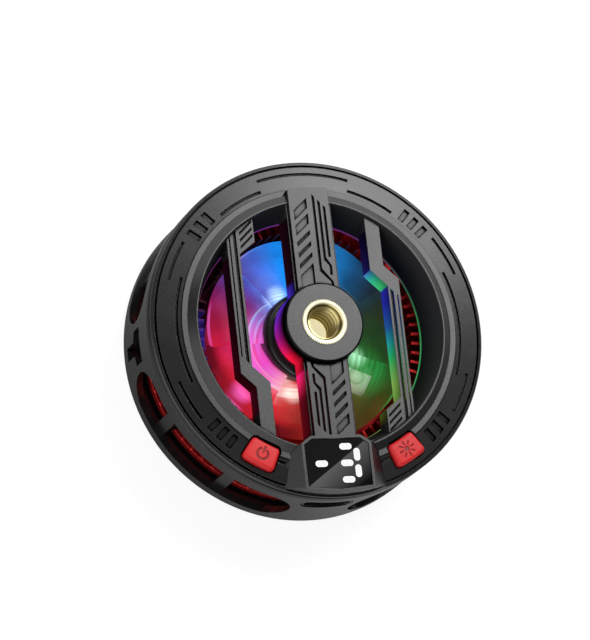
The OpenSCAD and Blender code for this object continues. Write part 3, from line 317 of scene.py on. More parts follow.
def glow_colour(s):
    """Glow at a place: a hue for each direction, a hot arc round the hub, bright spots and a rim."""
    radius, turn = polar(s)
    height = s.xyz(s.place)[2]
    flat = s.vec("MULTIPLY", s.place, (1, 1, 0))
    cloud = s.greys(s.noise(190, 3, 0.6), [(0.3, 0.72), (0.7, 1.2)])
    reach = s.greys(s.math("DIVIDE", radius, GLOW_R), [(0.40, 1.3), (0.60, 1.05), (0.85, 0.85), (1.0, 0.75)])
    body = s.mix(1.0, s.mix(1.0, hue_of(s, turn), cloud, "MULTIPLY"), reach, "MULTIPLY")

    lit_side = s.greys(turn, [(0.29, 0), (0.36, 0.45), (0.47, 1), (0.67, 1), (0.715, 0)], "EASE")
    hot = s.ramp(turn, [
        (0.33, (0.06, 0.30, 0.95)), (0.40, (0.16, 0.22, 0.90)), (0.45, (0.48, 0.20, 0.88)),
        (0.52, (0.92, 0.18, 0.88)), (0.58, (0.92, 0.11, 0.88)), (0.625, (0.95, 0.25, 0.75)),
        (0.67, (0.98, 0.55, 0.50)), (0.70, (0.85, 0.12, 0.14))])
    pale = s.ramp(turn, [
        (0.30, (0.60, 0.90, 1.0)), (0.44, (0.45, 0.65, 1.0)), (0.49, (0.95, 0.55, 0.98)),
        (0.57, (1.0, 0.62, 0.97)), (0.63, (1.0, 0.80, 0.95)), (0.70, (0.97, 1.0, 0.88))])
    swirl = s.math("DIVIDE", s.vec("DISTANCE", flat, SWIRL_MIDDLE), GLOW_R * MM)
    band = s.greys(swirl, [(0.40, 0.8), (0.445, 0.9), (0.465, 0.45), (0.50, 0.14), (0.56, 0)])
    lines = s.greys(swirl, [(0.376, 0), (0.390, 0.55), (0.402, 0.05), (0.438, 0.1), (0.455, 1), (0.466, 0)])
    rings = s.add("ShaderNodeCombineXYZ")
    s.link(s.math("MULTIPLY", swirl, 46), rings.inputs[0])
    s.link(s.math("MULTIPLY", turn, 7), rings.inputs[1])
    streaks = s.span(s.noise(1.0, 3, 0.6, at=rings.outputs[0]), 0.36, 0.62, 0.42, 1.1)
    total = s.mix(s.product(band, lit_side, streaks, clamp=True), body, hot)
    total = s.mix(s.product(lines, lit_side, streaks, clamp=True), total, pale)

    for angle, far, wide, power, colour in SPOTS:
        a = math.radians(angle)
        gap = s.vec("DISTANCE", flat, (far * MM * math.cos(a), far * MM * math.sin(a), 0))
        near = s.span(gap, SPOT_CORE, wide * MM, power, 0.0, True)
        total = s.mix(s.product(near, streaks, clamp=True), total, colour, "ADD")

    low_outside = s.product(s.span(height, *SHADE_Z, 0.9, 0.0), s.span(radius, *SHADE_R, 0.0, 1.0))
    near_side = s.greys(turn, [(0.44, 0), (0.49, 1), (0.70, 1), (0.76, 0)])
    total = s.mix(s.product(low_outside, near_side), total, SHADE_COLOUR)
    rim = s.product(s.span(off_radius(s, radius, TIP_R), *TIP_OFF, 0.8, 0.0),
                    s.span(height, *TIP_Z, 0.0, 1.0))
    edge = s.ramp(turn, [
        (0.00, (0.03, 0.16, 0.03)), (0.10, (0.04, 0.03, 0.06)), (0.20, (0.02, 0.16, 0.42)),
        (0.33, (0.08, 0.25, 0.85)), (0.40, (0.80, 0.22, 0.16)), (0.45, (0.85, 0.16, 0.70)),
        (0.52, (0.80, 0.05, 0.30)), (0.60, (0.45, 0.01, 0.05)), (0.74, (0.40, 0.02, 0.02)),
        (0.80, (0.12, 0.32, 0.05)), (0.90, (0.06, 0.35, 0.06)), (1.00, (0.03, 0.16, 0.03))])
    return s.mix(rim, total, edge)


def hub_chamfer_shade(s):
    """Where the painted shade lies on the chamfer round the top of the hub, which makes it dark and dull."""
    radius = polar(s)[0]
    ring = s.product(s.span(radius, *CHAMFER_IN, 0.0, 1.0), s.span(radius, *CHAMFER_OUT, 1.0, 0.0))
    return s.product(ring, s.span(s.xyz(s.place)[2], *CHAMFER_Z, 0.0, 1.0))


def wall_glow(s, true):
    """Light of the chips on the upright walls inside the opening, and where these walls are."""
    radius, turn = polar(s)
    height = s.xyz(s.place)[2]
    _, facing_y, facing_z = s.xyz(true)
    upright = s.span(s.math("ABSOLUTE", facing_z), *UPRIGHT, 1.0, 0.0)
    inside = s.span(radius, *OPENING_R, 1.0, 0.0)
    low_bar = s.span(height, *BAR_GLOW_Z, 1.0, 0.15)
    low_hub = s.span(height, *HUB_GLOW_Z, 1.0, 0.0)
    bars = s.ramp(turn, [
        (0.00, (0.02, 0.12, 0.42)), (0.05, (0.02, 0.025, 0.40)), (0.10, (0.03, 0.03, 0.40)),
        (0.13, (0.012, 0.008, 0.09)), (0.16, (0.004, 0.002, 0.02)), (0.28, (0.014, 0.001, 0.006)),
        (0.34, (0.022, 0.002, 0.012)), (0.42, (0.012, 0.001, 0.006)), (0.50, (0.018, 0.001, 0.004)),
        (0.60, (0.05, 0.002, 0.008)), (0.668, (0.06, 0.002, 0.008)), (0.676, (1.5, 0.02, 0.28)),
        (0.688, (1.0, 0.02, 0.13)), (0.70, (0.15, 0.003, 0.010)), (0.75, (0.06, 0.002, 0.006)),
        (0.84, (0.06, 0.07, 0.008)), (0.896, (0.26, 0.52, 0.10)), (0.936, (0.03, 0.55, 0.15)),
        (0.969, (0.02, 0.38, 0.40)), (1.00, (0.02, 0.12, 0.42)),
    ])
    hub = s.ramp(turn, [
        (0.30, (0.01, 0.008, 0.06)), (0.37, (0.06, 0.03, 0.65)), (0.46, (0.15, 0.015, 0.42)),
        (0.54, (0.36, 0.008, 0.20)), (0.62, (0.95, 0.008, 0.05)), (0.70, (0.40, 0.004, 0.015)),
        (0.80, (0.05, 0.004, 0.006)), (0.90, (0.01, 0.03, 0.006)),
    ])
    bar_side = s.span(radius, *BAR_R, 0.0, 1.0)
    hub_side = s.math("SUBTRACT", 1.0, bar_side)
    low = s.math("ADD", s.product(low_bar, bar_side), s.product(low_hub, hub_side))
    slant = s.product(s.span(facing_y, *SLANT_Y, 0.0, 1.0), s.span(radius, *SLANT_R, 0.0, 1.0))
    step = s.ramp(turn, [
        (0.06, (0.02, 0.02, 0.2)), (0.085, (0.06, 0.70, 0.22)), (0.105, (0.04, 0.62, 0.38)),
        (0.117, (0.05, 0.36, 0.62)), (0.130, (0.10, 0.06, 0.75)), (0.15, (0.01, 0.005, 0.05)),
        (0.5, (0.03, 0.001, 0.004)), (0.68, (0.035, 0.001, 0.004)), (0.84, (0.05, 0.05, 0.012)),
        (0.9, (0.06, 0.08, 0.02)),
    ])
    hue = s.mix(slant, s.mix(bar_side, hub, bars), step)
    wall = s.mix(s.product(upright, inside, low), (0, 0, 0), hue)
    inner = s.product(upright, s.span(radius, *INNER_R, 1.0, 0.0))
    rim = s.product(s.span(off_radius(s, radius, LINE_R), *LINE_OFF, 1.0, 0.0),
                    s.span(height, *LINE_Z, 1.0, 0.0))
    line = s.ramp(turn, [
        (0.0, (0.04, 0.30, 0.09)), (0.06, (0.03, 0.12, 0.06)), (0.14, (0.10, 0.02, 0.12)),
        (0.25, (0.16, 0.03, 0.22)), (0.36, (0.20, 0.02, 0.30)), (0.48, (0.45, 0.06, 0.25)),
        (0.62, (0.4, 0.02, 0.10)), (0.74, (0.4, 0.02, 0.05)), (0.86, (0.10, 0.40, 0.08)),
        (0.94, (0.05, 0.42, 0.14)), (1.0, (0.04, 0.30, 0.09))])
    return s.mix(rim, wall, line, "ADD"), inner


def lit_board():
    """The board under the fan: dull black, with the light of the chips on it."""
    s = Shader("lit_board")
    fine = s.noise(3000, 2, 0.5)
    s.to(Base_Color=s.greys(fine, [(0.3, 0.02), (0.7, 0.035)]))
    s.to(Roughness=s.span(fine, 0.3, 0.7, 0.35, 0.5))
    s.to(Emission_Color=glow_colour(s))
    s.put(Emission_Strength=1.0, Specular_IOR_Level=0.1)
    return s.mat


def lit_chips():
    """Light chips: each has its own colour by direction, a pale cup and a ring in it."""
    s = Shader("lit_chips")
    turn = polar(s)[1]
    hue = s.ramp(turn, [
        (0.0, (0.05, 0.55, 0.20)), (0.06, (0.05, 0.3, 0.45)), (0.2, (0.05, 0.3, 0.55)),
        (0.26, (0.15, 0.65, 1.0)), (0.38, (0.2, 0.6, 1.0)), (0.45, (0.9, 0.35, 1.0)),
        (0.58, (1.0, 0.3, 0.7)), (0.66, (1.0, 0.5, 0.35)), (0.78, (1.0, 0.35, 0.2)),
        (0.86, (0.75, 0.72, 0.60)), (0.95, (0.55, 0.80, 0.60)), (1.0, (0.05, 0.55, 0.20)),
    ])
    cup_reach = 4 * MM
    cup = ((0.0, 1.3), (0.28, 0.8), (0.34, 0.45), (0.40, 0.8), (0.6, 0.7), (1.0, 0.0))
    rings = None
    for angle, power in zip(LED_ANGLES, LED_POWER):
        a = math.radians(angle)
        gap = s.vec("DISTANCE", s.place, (LED_R * math.cos(a), LED_R * math.sin(a), LED_Z))
        ring = s.greys(s.math("DIVIDE", gap, cup_reach), [(where, v * power) for where, v in cup])
        rings = ring if rings is None else s.mix(1.0, rings, ring, "ADD")
    s.to(Base_Color=s.mix(0.5, hue, (0.1, 0.1, 0.1)))
    s.to(Emission_Color=s.mix(1.0, s.mix(0.45, hue, (0.8, 0.78, 0.74)), rings, "MULTIPLY"))
    s.put(Emission_Strength=2.0, Roughness=0.25, Specular_IOR_Level=0.1)
    return s.mat


def coated_fins():
    """Red anodised fins: drawn lines, painted highlights on the edges, dark where the duct shades them, a
    little blue light.
    """
    s = Shader("fin_red")
    radius, turn = polar(s)
    lines = s.noise(700, 4, 0.65, stretch=(1, 1, 8))
    colour = s.ramp(lines, [(0.25, (0.34, 0.006, 0.008)), (0.75, (0.62, 0.018, 0.020))])
    rounded, likeness, _ = s.soft_edge(0.00014, 4)
    # Painted highlight along the fins' edges
    colour = s.mix(s.span(likeness, 0.99, 0.80, 0.0, 0.8), colour, (0.95, 0.10, 0.09))
    shade = s.greys(turn, [
        (0.0, 0.1), (0.03, 0), (0.12, 0), (0.24, 0.3), (0.36, 0.95), (0.62, 0.95), (0.70, 0.3), (0.92, 0.3),
        (1.0, 0.1)])
    in_duct = s.span(radius, 20.6, 21.4, 1.0, 0.0)
    s.to(Base_Color=s.mix(s.product(shade, in_duct), colour, (0.004, 0.002, 0.005)))
    blue = s.ramp(turn, [
        (0.45, (0, 0, 0)), (0.475, (0.010, 0.010, 0.12)), (0.495, (0.015, 0.012, 0.20)),
        (0.515, (0.04, 0.004, 0.08)), (0.55, (0.03, 0.0, 0.01)), (0.60, (0, 0, 0))])
    s.to(Emission_Color=s.mix(in_duct, (0, 0, 0), blue))
    s.to(Roughness=s.span(lines, 0.25, 0.75, 0.36, 0.50))
    s.to(Normal=s.bump(lines, 0.25, 0.00001, rounded))
    s.put(Metallic=0.85, Emission_Strength=1.0)
    return s.mat


# Materials of the record's slots


CHARCOAL = ((0.0055, 0.0055, 0.0058), (0.0105, 0.0105, 0.0108), (0.22, 0.31))
SHELL = moulded("charcoal_plastic", *CHARCOAL)
RING = moulded("ring_plastic", *CHARCOAL, glow=True)
BRIDGE = moulded("bridge_plastic", (0.006, 0.006, 0.0063), (0.011, 0.011, 0.0113), (0.22, 0.31), glow=True)
BLACK = grained("black_plastic", (0.010, 0.010, 0.011), (0.022, 0.022, 0.023), (0.35, 0.5))
RUBBER = grained("soft_rubber", (0.012, 0.012, 0.012), (0.03, 0.03, 0.03), (0.7, 0.85), 2400, 0.00002)
FOAM = grained("foam", (0.01, 0.01, 0.011), (0.03, 0.03, 0.03), (0.85, 0.95), 1500, 0.00006)
RED = grained("button_red", (0.56, 0.014, 0.017), (0.70, 0.022, 0.024), (0.36, 0.46), 4200, 0.000008,
              Specular_IOR_Level=0.3)
RED_SIGN = grained("button_sign", (0.22, 0.004, 0.006), (0.30, 0.008, 0.009), (0.4, 0.5), 4200, 0.000008)
GLOSS_BLACK = grained("gloss_black", (0.022, 0.022, 0.023), (0.034, 0.034, 0.036), (0.18, 0.26),
                      2600, 0.000003)
GREEN = grained("board_green", (0.012, 0.10, 0.04), (0.03, 0.18, 0.08), (0.3, 0.45), 1500)
WHITE = grained("board_white", (0.70, 0.70, 0.69), (0.84, 0.84, 0.83), (0.4, 0.5), 2000)
CERAMIC = grained("ceramic", (0.72, 0.72, 0.70), (0.85, 0.85, 0.83), (0.5, 0.65), 2600)
WIRE_RED = grained("wire_red", (0.45, 0.02, 0.02), (0.6, 0.03, 0.03), (0.4, 0.5))
WIRE_BLACK = grained("wire_black", (0.012, 0.012, 0.012), (0.03, 0.03, 0.03), (0.4, 0.5))
FIN_RED = coated_fins()
DARK_STEEL = metal("socket_steel", (0.05, 0.05, 0.052), (0.10, 0.10, 0.105), (0.3, 0.45), (1, 6, 1))
STEEL = metal("steel", (0.45, 0.45, 0.46), (0.72, 0.72, 0.73), (0.25, 0.4), (1, 1, 6))
BRASS = metal("brass", (0.78, 0.66, 0.36), (0.94, 0.85, 0.56), (0.24, 0.36), (1, 1, 3), 1400)
COPPER = metal("copper", (0.55, 0.22, 0.09), (0.80, 0.42, 0.20), (0.25, 0.4), (1, 1, 12))
NICKEL = metal("magnet_nickel", (0.58, 0.58, 0.58), (0.76, 0.76, 0.76), (0.14, 0.24))
DARK = metal("magnet_dark", (0.10, 0.10, 0.11), (0.2, 0.2, 0.21), (0.45, 0.6))
ALUMINIUM = metal("plate_aluminium", (0.58, 0.59, 0.60), (0.80, 0.81, 0.83), (0.24, 0.38), (1, 14, 1), 420)


def gloss_window():
    """The display's dark window, nearly a mirror."""
    s = Shader("window_black")
    haze = s.noise(90, 3, 0.6)
    s.to(Base_Color=s.ramp(haze, [(0.3, (0.0035, 0.0035, 0.004)), (0.7, (0.006, 0.006, 0.007))]))
    s.to(Roughness=s.span(haze, 0.3, 0.7, 0.005, 0.015))
    s.put(Specular_IOR_Level=0.32)
    return s.mat


def lit_segments():
    """Lit bars of the display: a milky middle and a brighter rim."""
    s = Shader("segment_white")
    haze = s.noise(2600, 2, 0.5)
    s.to(Base_Color=s.greys(haze, [(0.3, 0.34), (0.7, 0.40)]))
    rim = s.span(s.soft_edge(0.00028, 6)[1], 0.99, 0.85, 0.0, 1.0)
    milky = s.ramp(haze, [(0.2, (0.50, 0.50, 0.505)), (0.8, (0.56, 0.56, 0.56))])
    s.to(Emission_Color=s.mix(rim, milky, (0.95, 0.95, 0.95)))
    s.put(Emission_Strength=1.0, Roughness=0.5, Specular_IOR_Level=0.2)
    return s.mat


def clear_fan():
    """Clear smoky plastic with the light from below painted on it as glow. The painted light stays in place
    as the fan turns.
    """
    s = Shader("clear_plastic")
    s.place = s.add("ShaderNodeNewGeometry").outputs["Position"]
    haze = s.noise(240, 3, 0.6)
    s.to(Base_Color=s.ramp(haze, [(0.3, (0.004, 0.004, 0.005)), (0.7, (0.007, 0.007, 0.008))]))
    s.to(Roughness=s.span(haze, 0.3, 0.7, 0.2, 0.3))
    s.to(Emission_Color=glow_colour(s))
    s.put(Alpha=0.68, IOR=1.45, Emission_Strength=1.0, Specular_IOR_Level=0.06)
    s.mat.surface_render_method = "BLENDED"
    return s.mat


WINDOW = gloss_window()
SEGMENTS = lit_segments()
CLEAR = clear_fan()
LIT_BOARD = lit_board()
LIT_CHIPS = lit_chips()

# Material of each node. A node that isn't named here is steel.
FINISH = {
    "front_ring": RING, "side_shell": SHELL, "vent_posts": SHELL, "back_cover": SHELL,
    "centre_bridge": BRIDGE, "threaded_insert": BRASS, "bearing_bush": BRASS,
    "display_window": WINDOW, "display_segments": SEGMENTS, "light_chips": LIT_CHIPS,
    "display_module": WHITE, "motor_board": LIT_BOARD, "power_button": RED, "light_button": RED,
    "power_plunger": BLACK, "light_plunger": BLACK, "board_chips": BLACK, "usb_tongue": BLACK,
    "usb_shell": DARK_STEEL, "main_board": GREEN, "contact_ring": RUBBER, "cold_plate": ALUMINIUM,
    "magnets": NICKEL, "module_cold_face": CERAMIC, "module_hot_face": CERAMIC, "module_pellets": DARK,
    "rotor_magnet": DARK, "foam_gasket": FOAM, "heatsink": FIN_RED, "stator_coils": COPPER,
    "impeller": CLEAR, "module_leads": WIRE_RED, "fan_leads": WIRE_BLACK,
}
for name, node in nodes.items():
    node.data.materials.clear()
    node.data.materials.append(FINISH.get(name, STEEL))


# Small helpers for pieces. Points are in millimetres until they become a mesh.


def piece(name, mesh, body, slot, *materials):
    """A new piece in the row frame that rides on a CAD body."""
    obj = bpy.data.objects.new(name, mesh)
    scene.collection.objects.link(obj)
    for material in materials:
        mesh.materials.append(material)
    mesh.polygons.foreach_set("use_smooth", [True] * len(mesh.polygons))
    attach(obj, body)
    return obj


def circle(radius, z, around):
    """A level ring of points. The radius is a number, or depends on the point's number."""
    points = []
    for j in range(around):
        r = radius(j) if callable(radius) else radius
        a = 2 * math.pi * j / around
        points.append((r * math.cos(a), r * math.sin(a), z))
    return points


def lattice(rows, wrap_rows=False, wrap_cols=False):
    """Points and four-sided faces of a net of points, given row by row."""
    high, wide = len(rows), len(rows[0])
    points = [p for row in rows for p in row]
    faces = []
    for i in range(high if wrap_rows else high - 1):
        for j in range(wide if wrap_cols else wide - 1):
            k, m = (i + 1) % high, (j + 1) % wide
            faces.append((i * wide + j, i * wide + m, k * wide + m, k * wide + j))
    return points, faces


def plain_mesh(name, points, faces):
    mesh = bpy.data.meshes.new(name)
    mesh.from_pydata([tuple(c * MM for c in p) for p in points], [], faces)
    return mesh


def clean(mesh, merge):
    """Joins points that are closer than this, and turns all faces outwards."""
    bm = bmesh.new()
    bm.from_mesh(mesh)
    bmesh.ops.remove_doubles(bm, verts=bm.verts, dist=merge)
    bmesh.ops.recalc_face_normals(bm, faces=bm.faces)
    bm.to_mesh(mesh)
    bm.free()


def to_mesh(name, points, faces):
    mesh = plain_mesh(name, points, faces)
    clean(mesh, 1e-7)
    return mesh


def crease(obj, degrees):
    """Keeps the edges of a smooth piece crisp above this angle."""
    mesh = obj.data
    bm = bmesh.new()
    bm.from_mesh(mesh)
    for edge in bm.edges:
        edge.smooth = len(edge.link_faces) == 2 and edge.calc_face_angle(0) < math.radians(degrees)
    bm.to_mesh(mesh)
    bm.free()


# Threaded insert: knurled rim, countersink, screw thread and a plain floor


INSERT_TOP, INSERT_LOW, INSERT_R = 22.22, 14.52, 4.13
THREAD_IN, THREAD_OUT, PITCH = 2.6, 3.1, 1.27
THREAD_TOP, THREAD_LOW = INSERT_TOP - 0.56, INSERT_LOW + 0.34
# Height of one row of the thread, and the length over which it fades out at its lower end
THREAD_ROW, THREAD_FADE = 0.06, 0.5
# Shares of the thread's wave that are cut off, for its flat crests and roots
THREAD_FLAT = 0.12
TEETH, TOOTH_DEPTH = 60, 0.36
TOOTH_WAVE = (0.0, 0.5, 1.0, 0.5)


def insert_mesh():
    steps = TEETH * len(TOOTH_WAVE)

    def tooth(inset):
        return lambda j: INSERT_R - inset - TOOTH_DEPTH * TOOTH_WAVE[j % len(TOOTH_WAVE)]

    def screw(z):
        fade = min(1.0, (z - THREAD_LOW) / THREAD_FADE)

        def radius(j):
            phase = (z / PITCH - j / steps) % 1.0
            wave = (abs(2 * phase - 1) - THREAD_FLAT) / (1 - 2 * THREAD_FLAT)
            return THREAD_IN + (THREAD_OUT - THREAD_IN) * min(1.0, max(0.0, wave)) * fade

        return radius

    outside_and_top = [
        (0.0, INSERT_LOW), (INSERT_R - 0.3, INSERT_LOW), (tooth(0.0), INSERT_LOW + 0.2),
        (tooth(0.0), INSERT_TOP - 0.04), (tooth(0.03), INSERT_TOP), (INSERT_R - 0.46, INSERT_TOP),
        (THREAD_OUT + 0.20, INSERT_TOP), (THREAD_OUT + 0.14, INSERT_TOP - 0.05),
        (THREAD_OUT - 0.16, INSERT_TOP - 0.42), (THREAD_OUT, INSERT_TOP - 0.50)]
    count = int((THREAD_TOP - THREAD_LOW) / THREAD_ROW)
    heights = [THREAD_TOP - (THREAD_TOP - THREAD_LOW) * i / count for i in range(count + 1)]
    thread = [(screw(z), z) for z in heights]
    floor_rings = [(THREAD_IN - 0.05, THREAD_LOW - 0.06), (THREAD_IN - 0.4, THREAD_LOW - 0.10),
                   (0.0, THREAD_LOW - 0.12)]
    rows = [circle(r, z, steps) for r, z in outside_and_top + thread + floor_rings]
    return to_mesh("screw_insert", *lattice(rows, wrap_cols=True))


def turned_brass():
    """Brass of the insert: satin top and floor, painted glow on the floor, a darker bore, darker still in
    the thread's grooves.
    """
    s = Shader("turned_brass")
    radius = polar(s)[0]
    height = s.math("DIVIDE", s.xyz(s.place)[2], MM)
    lines = s.noise(1400, 4, 0.65, stretch=(1, 1, 3))
    colour = s.ramp(lines, [(0.25, (0.60, 0.50, 0.20)), (0.75, (0.80, 0.70, 0.36))])
    # The thread's grooves, where the bore is darker still
    groove = s.product(s.span(radius, THREAD_IN + 0.06, THREAD_OUT - 0.06, 0.0, 1.0),
                       s.span(radius, THREAD_OUT + 0.02, THREAD_OUT + 0.06, 1.0, 0.0))
    top = s.span(height, INSERT_TOP - 0.03, INSERT_TOP - 0.01, 0.0, 1.0)
    # The floor of the bore, satin and with painted glow
    base = s.product(s.span(height, INSERT_LOW + 0.36, INSERT_LOW + 0.32, 0.0, 1.0),
                     s.span(radius, THREAD_IN, THREAD_IN + 0.02, 1.0, 0.0))
    satin = s.math("MAXIMUM", top, base)
    colour = s.mix(groove, colour, (0.085, 0.060, 0.010))
    pale = s.ramp(lines, [(0.25, (0.86, 0.80, 0.56)), (0.75, (0.95, 0.90, 0.68))])
    s.to(Base_Color=s.mix(satin, colour, pale))
    rough = s.span(lines, 0.25, 0.75, 0.30, 0.42)
    s.to(Roughness=s.math("ADD", rough, s.math("MULTIPLY", satin, 0.22)))
    s.to(Normal=s.bump(lines, 0.2, 0.000008))
    # Painted glow on the floor of the bore
    s.to(Emission_Color=s.mix(base, (0, 0, 0), (0.74, 0.69, 0.44)))
    s.put(Metallic=1.0, Emission_Strength=0.9)
    return s.mat


insert = piece("screw_insert", insert_mesh(), "housing", "brass", turned_brass())
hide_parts("threaded_insert")
crease(insert, 50)


SEAT_TOP, SEAT_LOW, SEAT_IN, SEAT_OUT, SEAT_AROUND = 22.11, 21.4, 3.6, 4.16, 128


def seat_mesh():
    """Plastic of the hub that fills the knurl's gaps, a little below the insert's top."""
    outline = [(SEAT_IN, SEAT_LOW), (SEAT_OUT, SEAT_LOW), (SEAT_OUT, SEAT_TOP), (SEAT_IN, SEAT_TOP)]
    rows = [circle(r, z, SEAT_AROUND) for r, z in outline]
    return to_mesh("insert_seat", *lattice(rows, wrap_rows=True, wrap_cols=True))


seat = piece("insert_seat", seat_mesh(), "housing", "bridge_plastic", BRIDGE)
crease(seat, 40)


# Buttons: crowned keys with engraved signs


KEY_R, KEY_L, KEY_W, KEY_TOP, KEY_LOW = 25.85, 4.3, 5.68, 19.9, 16.95
KEY_CORNER, KEY_ROLL, KEY_CROWN = 0.75, 0.62, 0.10
# Points round a key, rings from its middle to its edge, and how these crowd towards the edge
KEY_AROUND, KEY_RINGS, KEY_CROWDING = 168, 60, 1.35
SIGN_DEPTH, SIGN_SLOPE = 0.16, 0.07
# Angle of each key on the ring, in degrees
POWER_AT, LIGHT_AT = 239.71, 300.29
# Distance that stands for no sign
FAR = 9.0
# Power sign: radius, half width of the line, half of the gap in degrees, ends of the upright bar
POWER_R, POWER_HALF, POWER_GAP, POWER_BAR = 0.95, 0.16, 38, (0.25, 1.25)
# Sun sign: radius of the disc, number of rays, their ends and half width
SUN_R, SUN_RAYS, SUN_RAY, SUN_HALF = 0.42, 8, (0.8, 1.4), 0.105


def rounded_box(x, y, half_x, half_y, corner):
    """Signed distance to a rounded rectangle, below zero inside."""
    qx, qy = abs(x) - half_x + corner, abs(y) - half_y + corner
    return math.hypot(max(qx, 0), max(qy, 0)) + min(max(qx, qy), 0) - corner


def bar(x, y, x0, y0, x1, y1, half):
    """Signed distance to a straight bar with round ends."""
    dx, dy = x1 - x0, y1 - y0
    t = max(0.0, min(1.0, ((x - x0) * dx + (y - y0) * dy) / (dx * dx + dy * dy)))
    return math.hypot(x - x0 - t * dx, y - y0 - t * dy) - half


def power_sign(x, y):
    turn = math.degrees(math.atan2(x, y))
    ring = abs(math.hypot(x, y) - POWER_R) - POWER_HALF if abs(turn) > POWER_GAP else FAR
    for side in (-1, 1):
        a = math.radians(POWER_GAP * side)
        end = math.hypot(x - POWER_R * math.sin(a), y - POWER_R * math.cos(a)) - POWER_HALF
        ring = min(ring, end)
    return min(ring, bar(x, y, 0, POWER_BAR[0], 0, POWER_BAR[1], POWER_HALF))


def sun_sign(x, y):
    best = math.hypot(x, y) - SUN_R
    near, far = SUN_RAY
    for i in range(SUN_RAYS):
        a = math.radians(360 / SUN_RAYS * i)
        dx, dy = math.sin(a), math.cos(a)
        best = min(best, bar(x, y, near * dx, near * dy, far * dx, far * dy, SUN_HALF))
    return best


def key_mesh(name, middle, sign):
    """A key at this angle of the ring, and which of its faces belong to the sign."""
    half_w, half_l = KEY_W / 2, KEY_L / 2

    def at(u, v, z):
        """u runs round the ring and v towards its centre."""
        radius = KEY_R - v
        angle = math.radians(middle) - u / KEY_R
        return (radius * math.cos(angle), radius * math.sin(angle), z)

    def outline(t):
        """A point of the key's edge, at turn t, found by halving."""
        dx, dy = math.cos(t), math.sin(t)
        lo, hi = 0.0, half_w + half_l
        for _ in range(40):
            mid = (lo + hi) / 2
            if rounded_box(mid * dx, mid * dy, half_w, half_l, KEY_CORNER) < 0:
                lo = mid
            else:
                hi = mid
        return lo * dx, lo * dy

    def top_at(u, v, depth):
        """Height of the crowned top, rolled at its edge and sunk at the sign."""
        z = KEY_TOP + KEY_CROWN - KEY_CROWN * ((u / half_w) ** 2 + (v / half_l) ** 2) / 2
        inside = -rounded_box(u, v, half_w, half_l, KEY_CORNER)
        if inside < KEY_ROLL:
            k = 1 - max(0.0, inside) / KEY_ROLL
            z -= KEY_ROLL * (1 - math.sqrt(max(0.0, 1 - k * k)))
        return z - SIGN_DEPTH * max(0.0, min(1.0, 0.5 - depth / SIGN_SLOPE))

    edge = [outline(2 * math.pi * j / KEY_AROUND) for j in range(KEY_AROUND)]
    rows, marks = [], []
    for i in range(KEY_RINGS + 1):
        ease = 1 - (1 - i / KEY_RINGS) ** KEY_CROWDING
        row = []
        for u0, v0 in edge:
            u, v = u0 * ease, v0 * ease
            depth = sign(u, v)
            row.append(at(u, v, top_at(u, v, depth)))
            marks.append(depth)
        rows.append(row)
    rows.append([at(u, v, KEY_LOW) for u, v in edge])
    points, faces = lattice(rows, wrap_cols=True)
    under = len(points)
    points.append(at(0, 0, KEY_LOW))
    last = (len(rows) - 1) * KEY_AROUND
    faces += [(last + j, under, last + (j + 1) % KEY_AROUND) for j in range(KEY_AROUND)]
    signs = [min(marks[i] if i < len(marks) else FAR for i in f) < 0.0 for f in faces]
    return plain_mesh(name, points, faces), signs


def make_key(name, node, body, middle, sign):
    mesh, signs = key_mesh(name, middle, sign)
    obj = piece(name, mesh, body, "button_red", RED, RED_SIGN)
    mesh.polygons.foreach_set("material_index", [1 if s else 0 for s in signs])
    clean(mesh, 1e-8)
    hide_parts(node)


make_key("power_key_cap", "power_button", "power_key", POWER_AT, power_sign)
make_key("light_key_cap", "light_button", "light_key", LIGHT_AT, sun_sign)


# Fan: black hub and seven clear curved blades


HUB_R, FAN_R, FAN_LOW, FAN_TOP, SKIRT = 8.1, 18.2, 8.6, 13.6, 7.0
# Hub: radius of its rounded edge and steps along it, inner radius, thickness of its roof, points around
HUB_ROUND, HUB_STEPS, HUB_INNER, HUB_ROOF, HUB_AROUND = 1.3, 8, 7.4, 1.0, 128
# Shallow groove in the hub's top: radius and depth of its corners
HUB_GROOVE = [(5.6, 0.0), (5.5, 0.08), (5.2, 0.08), (5.1, 0.0)]
# Number of blades, their pitch in degrees, half widths at root and tip, sweep at the tip, and thickness
BLADES, BLADE_PITCH, BLADE_ROOT, BLADE_TIP, BLADE_SWEEP, BLADE_THICK = 7, 15, 4.5, 9.2, 1.0, 0.7
# How far a blade is sunk into the hub, its length, crown and drop, and its gap to the fan's top and low end
BLADE_SUNK, BLADE_LENGTH, BLADE_CROWN, BLADE_DROP, BLADE_GAP = 0.25, FAN_R - HUB_R + 0.2, 0.35, 0.1, 0.05
# Rounding of the tip: share of the width, and its start and length as shares of the blade
TIP_CUT, TIP_FROM, TIP_LENGTH = 0.04, 0.9, 0.1
# Share of the thickness that is left at a blade's long edges, and how late it thins
EDGE_SHARE, EDGE_POWER = 0.25, 8
# Rows of points from root to tip, and points across a blade
BLADE_SPANS, BLADE_CHORDS = 22, 26


def hub_mesh():
    profile = [(HUB_R - 0.1, SKIRT), (HUB_R, SKIRT + 0.1)]
    for i in range(HUB_STEPS + 1):
        a = math.radians(90 * i / HUB_STEPS)
        profile.append((HUB_R - HUB_ROUND + HUB_ROUND * math.cos(a),
                        FAN_TOP - HUB_ROUND + HUB_ROUND * math.sin(a)))
    profile += [(r, FAN_TOP - depth) for r, depth in HUB_GROOVE] + [(0.0, FAN_TOP)]
    under = [(0.0, FAN_TOP - HUB_ROOF), (HUB_INNER, FAN_TOP - HUB_ROOF), (HUB_INNER, SKIRT)]
    rows = [circle(r, z, HUB_AROUND) for r, z in under + profile]
    return to_mesh("fan_hub", *lattice(rows, wrap_cols=True))


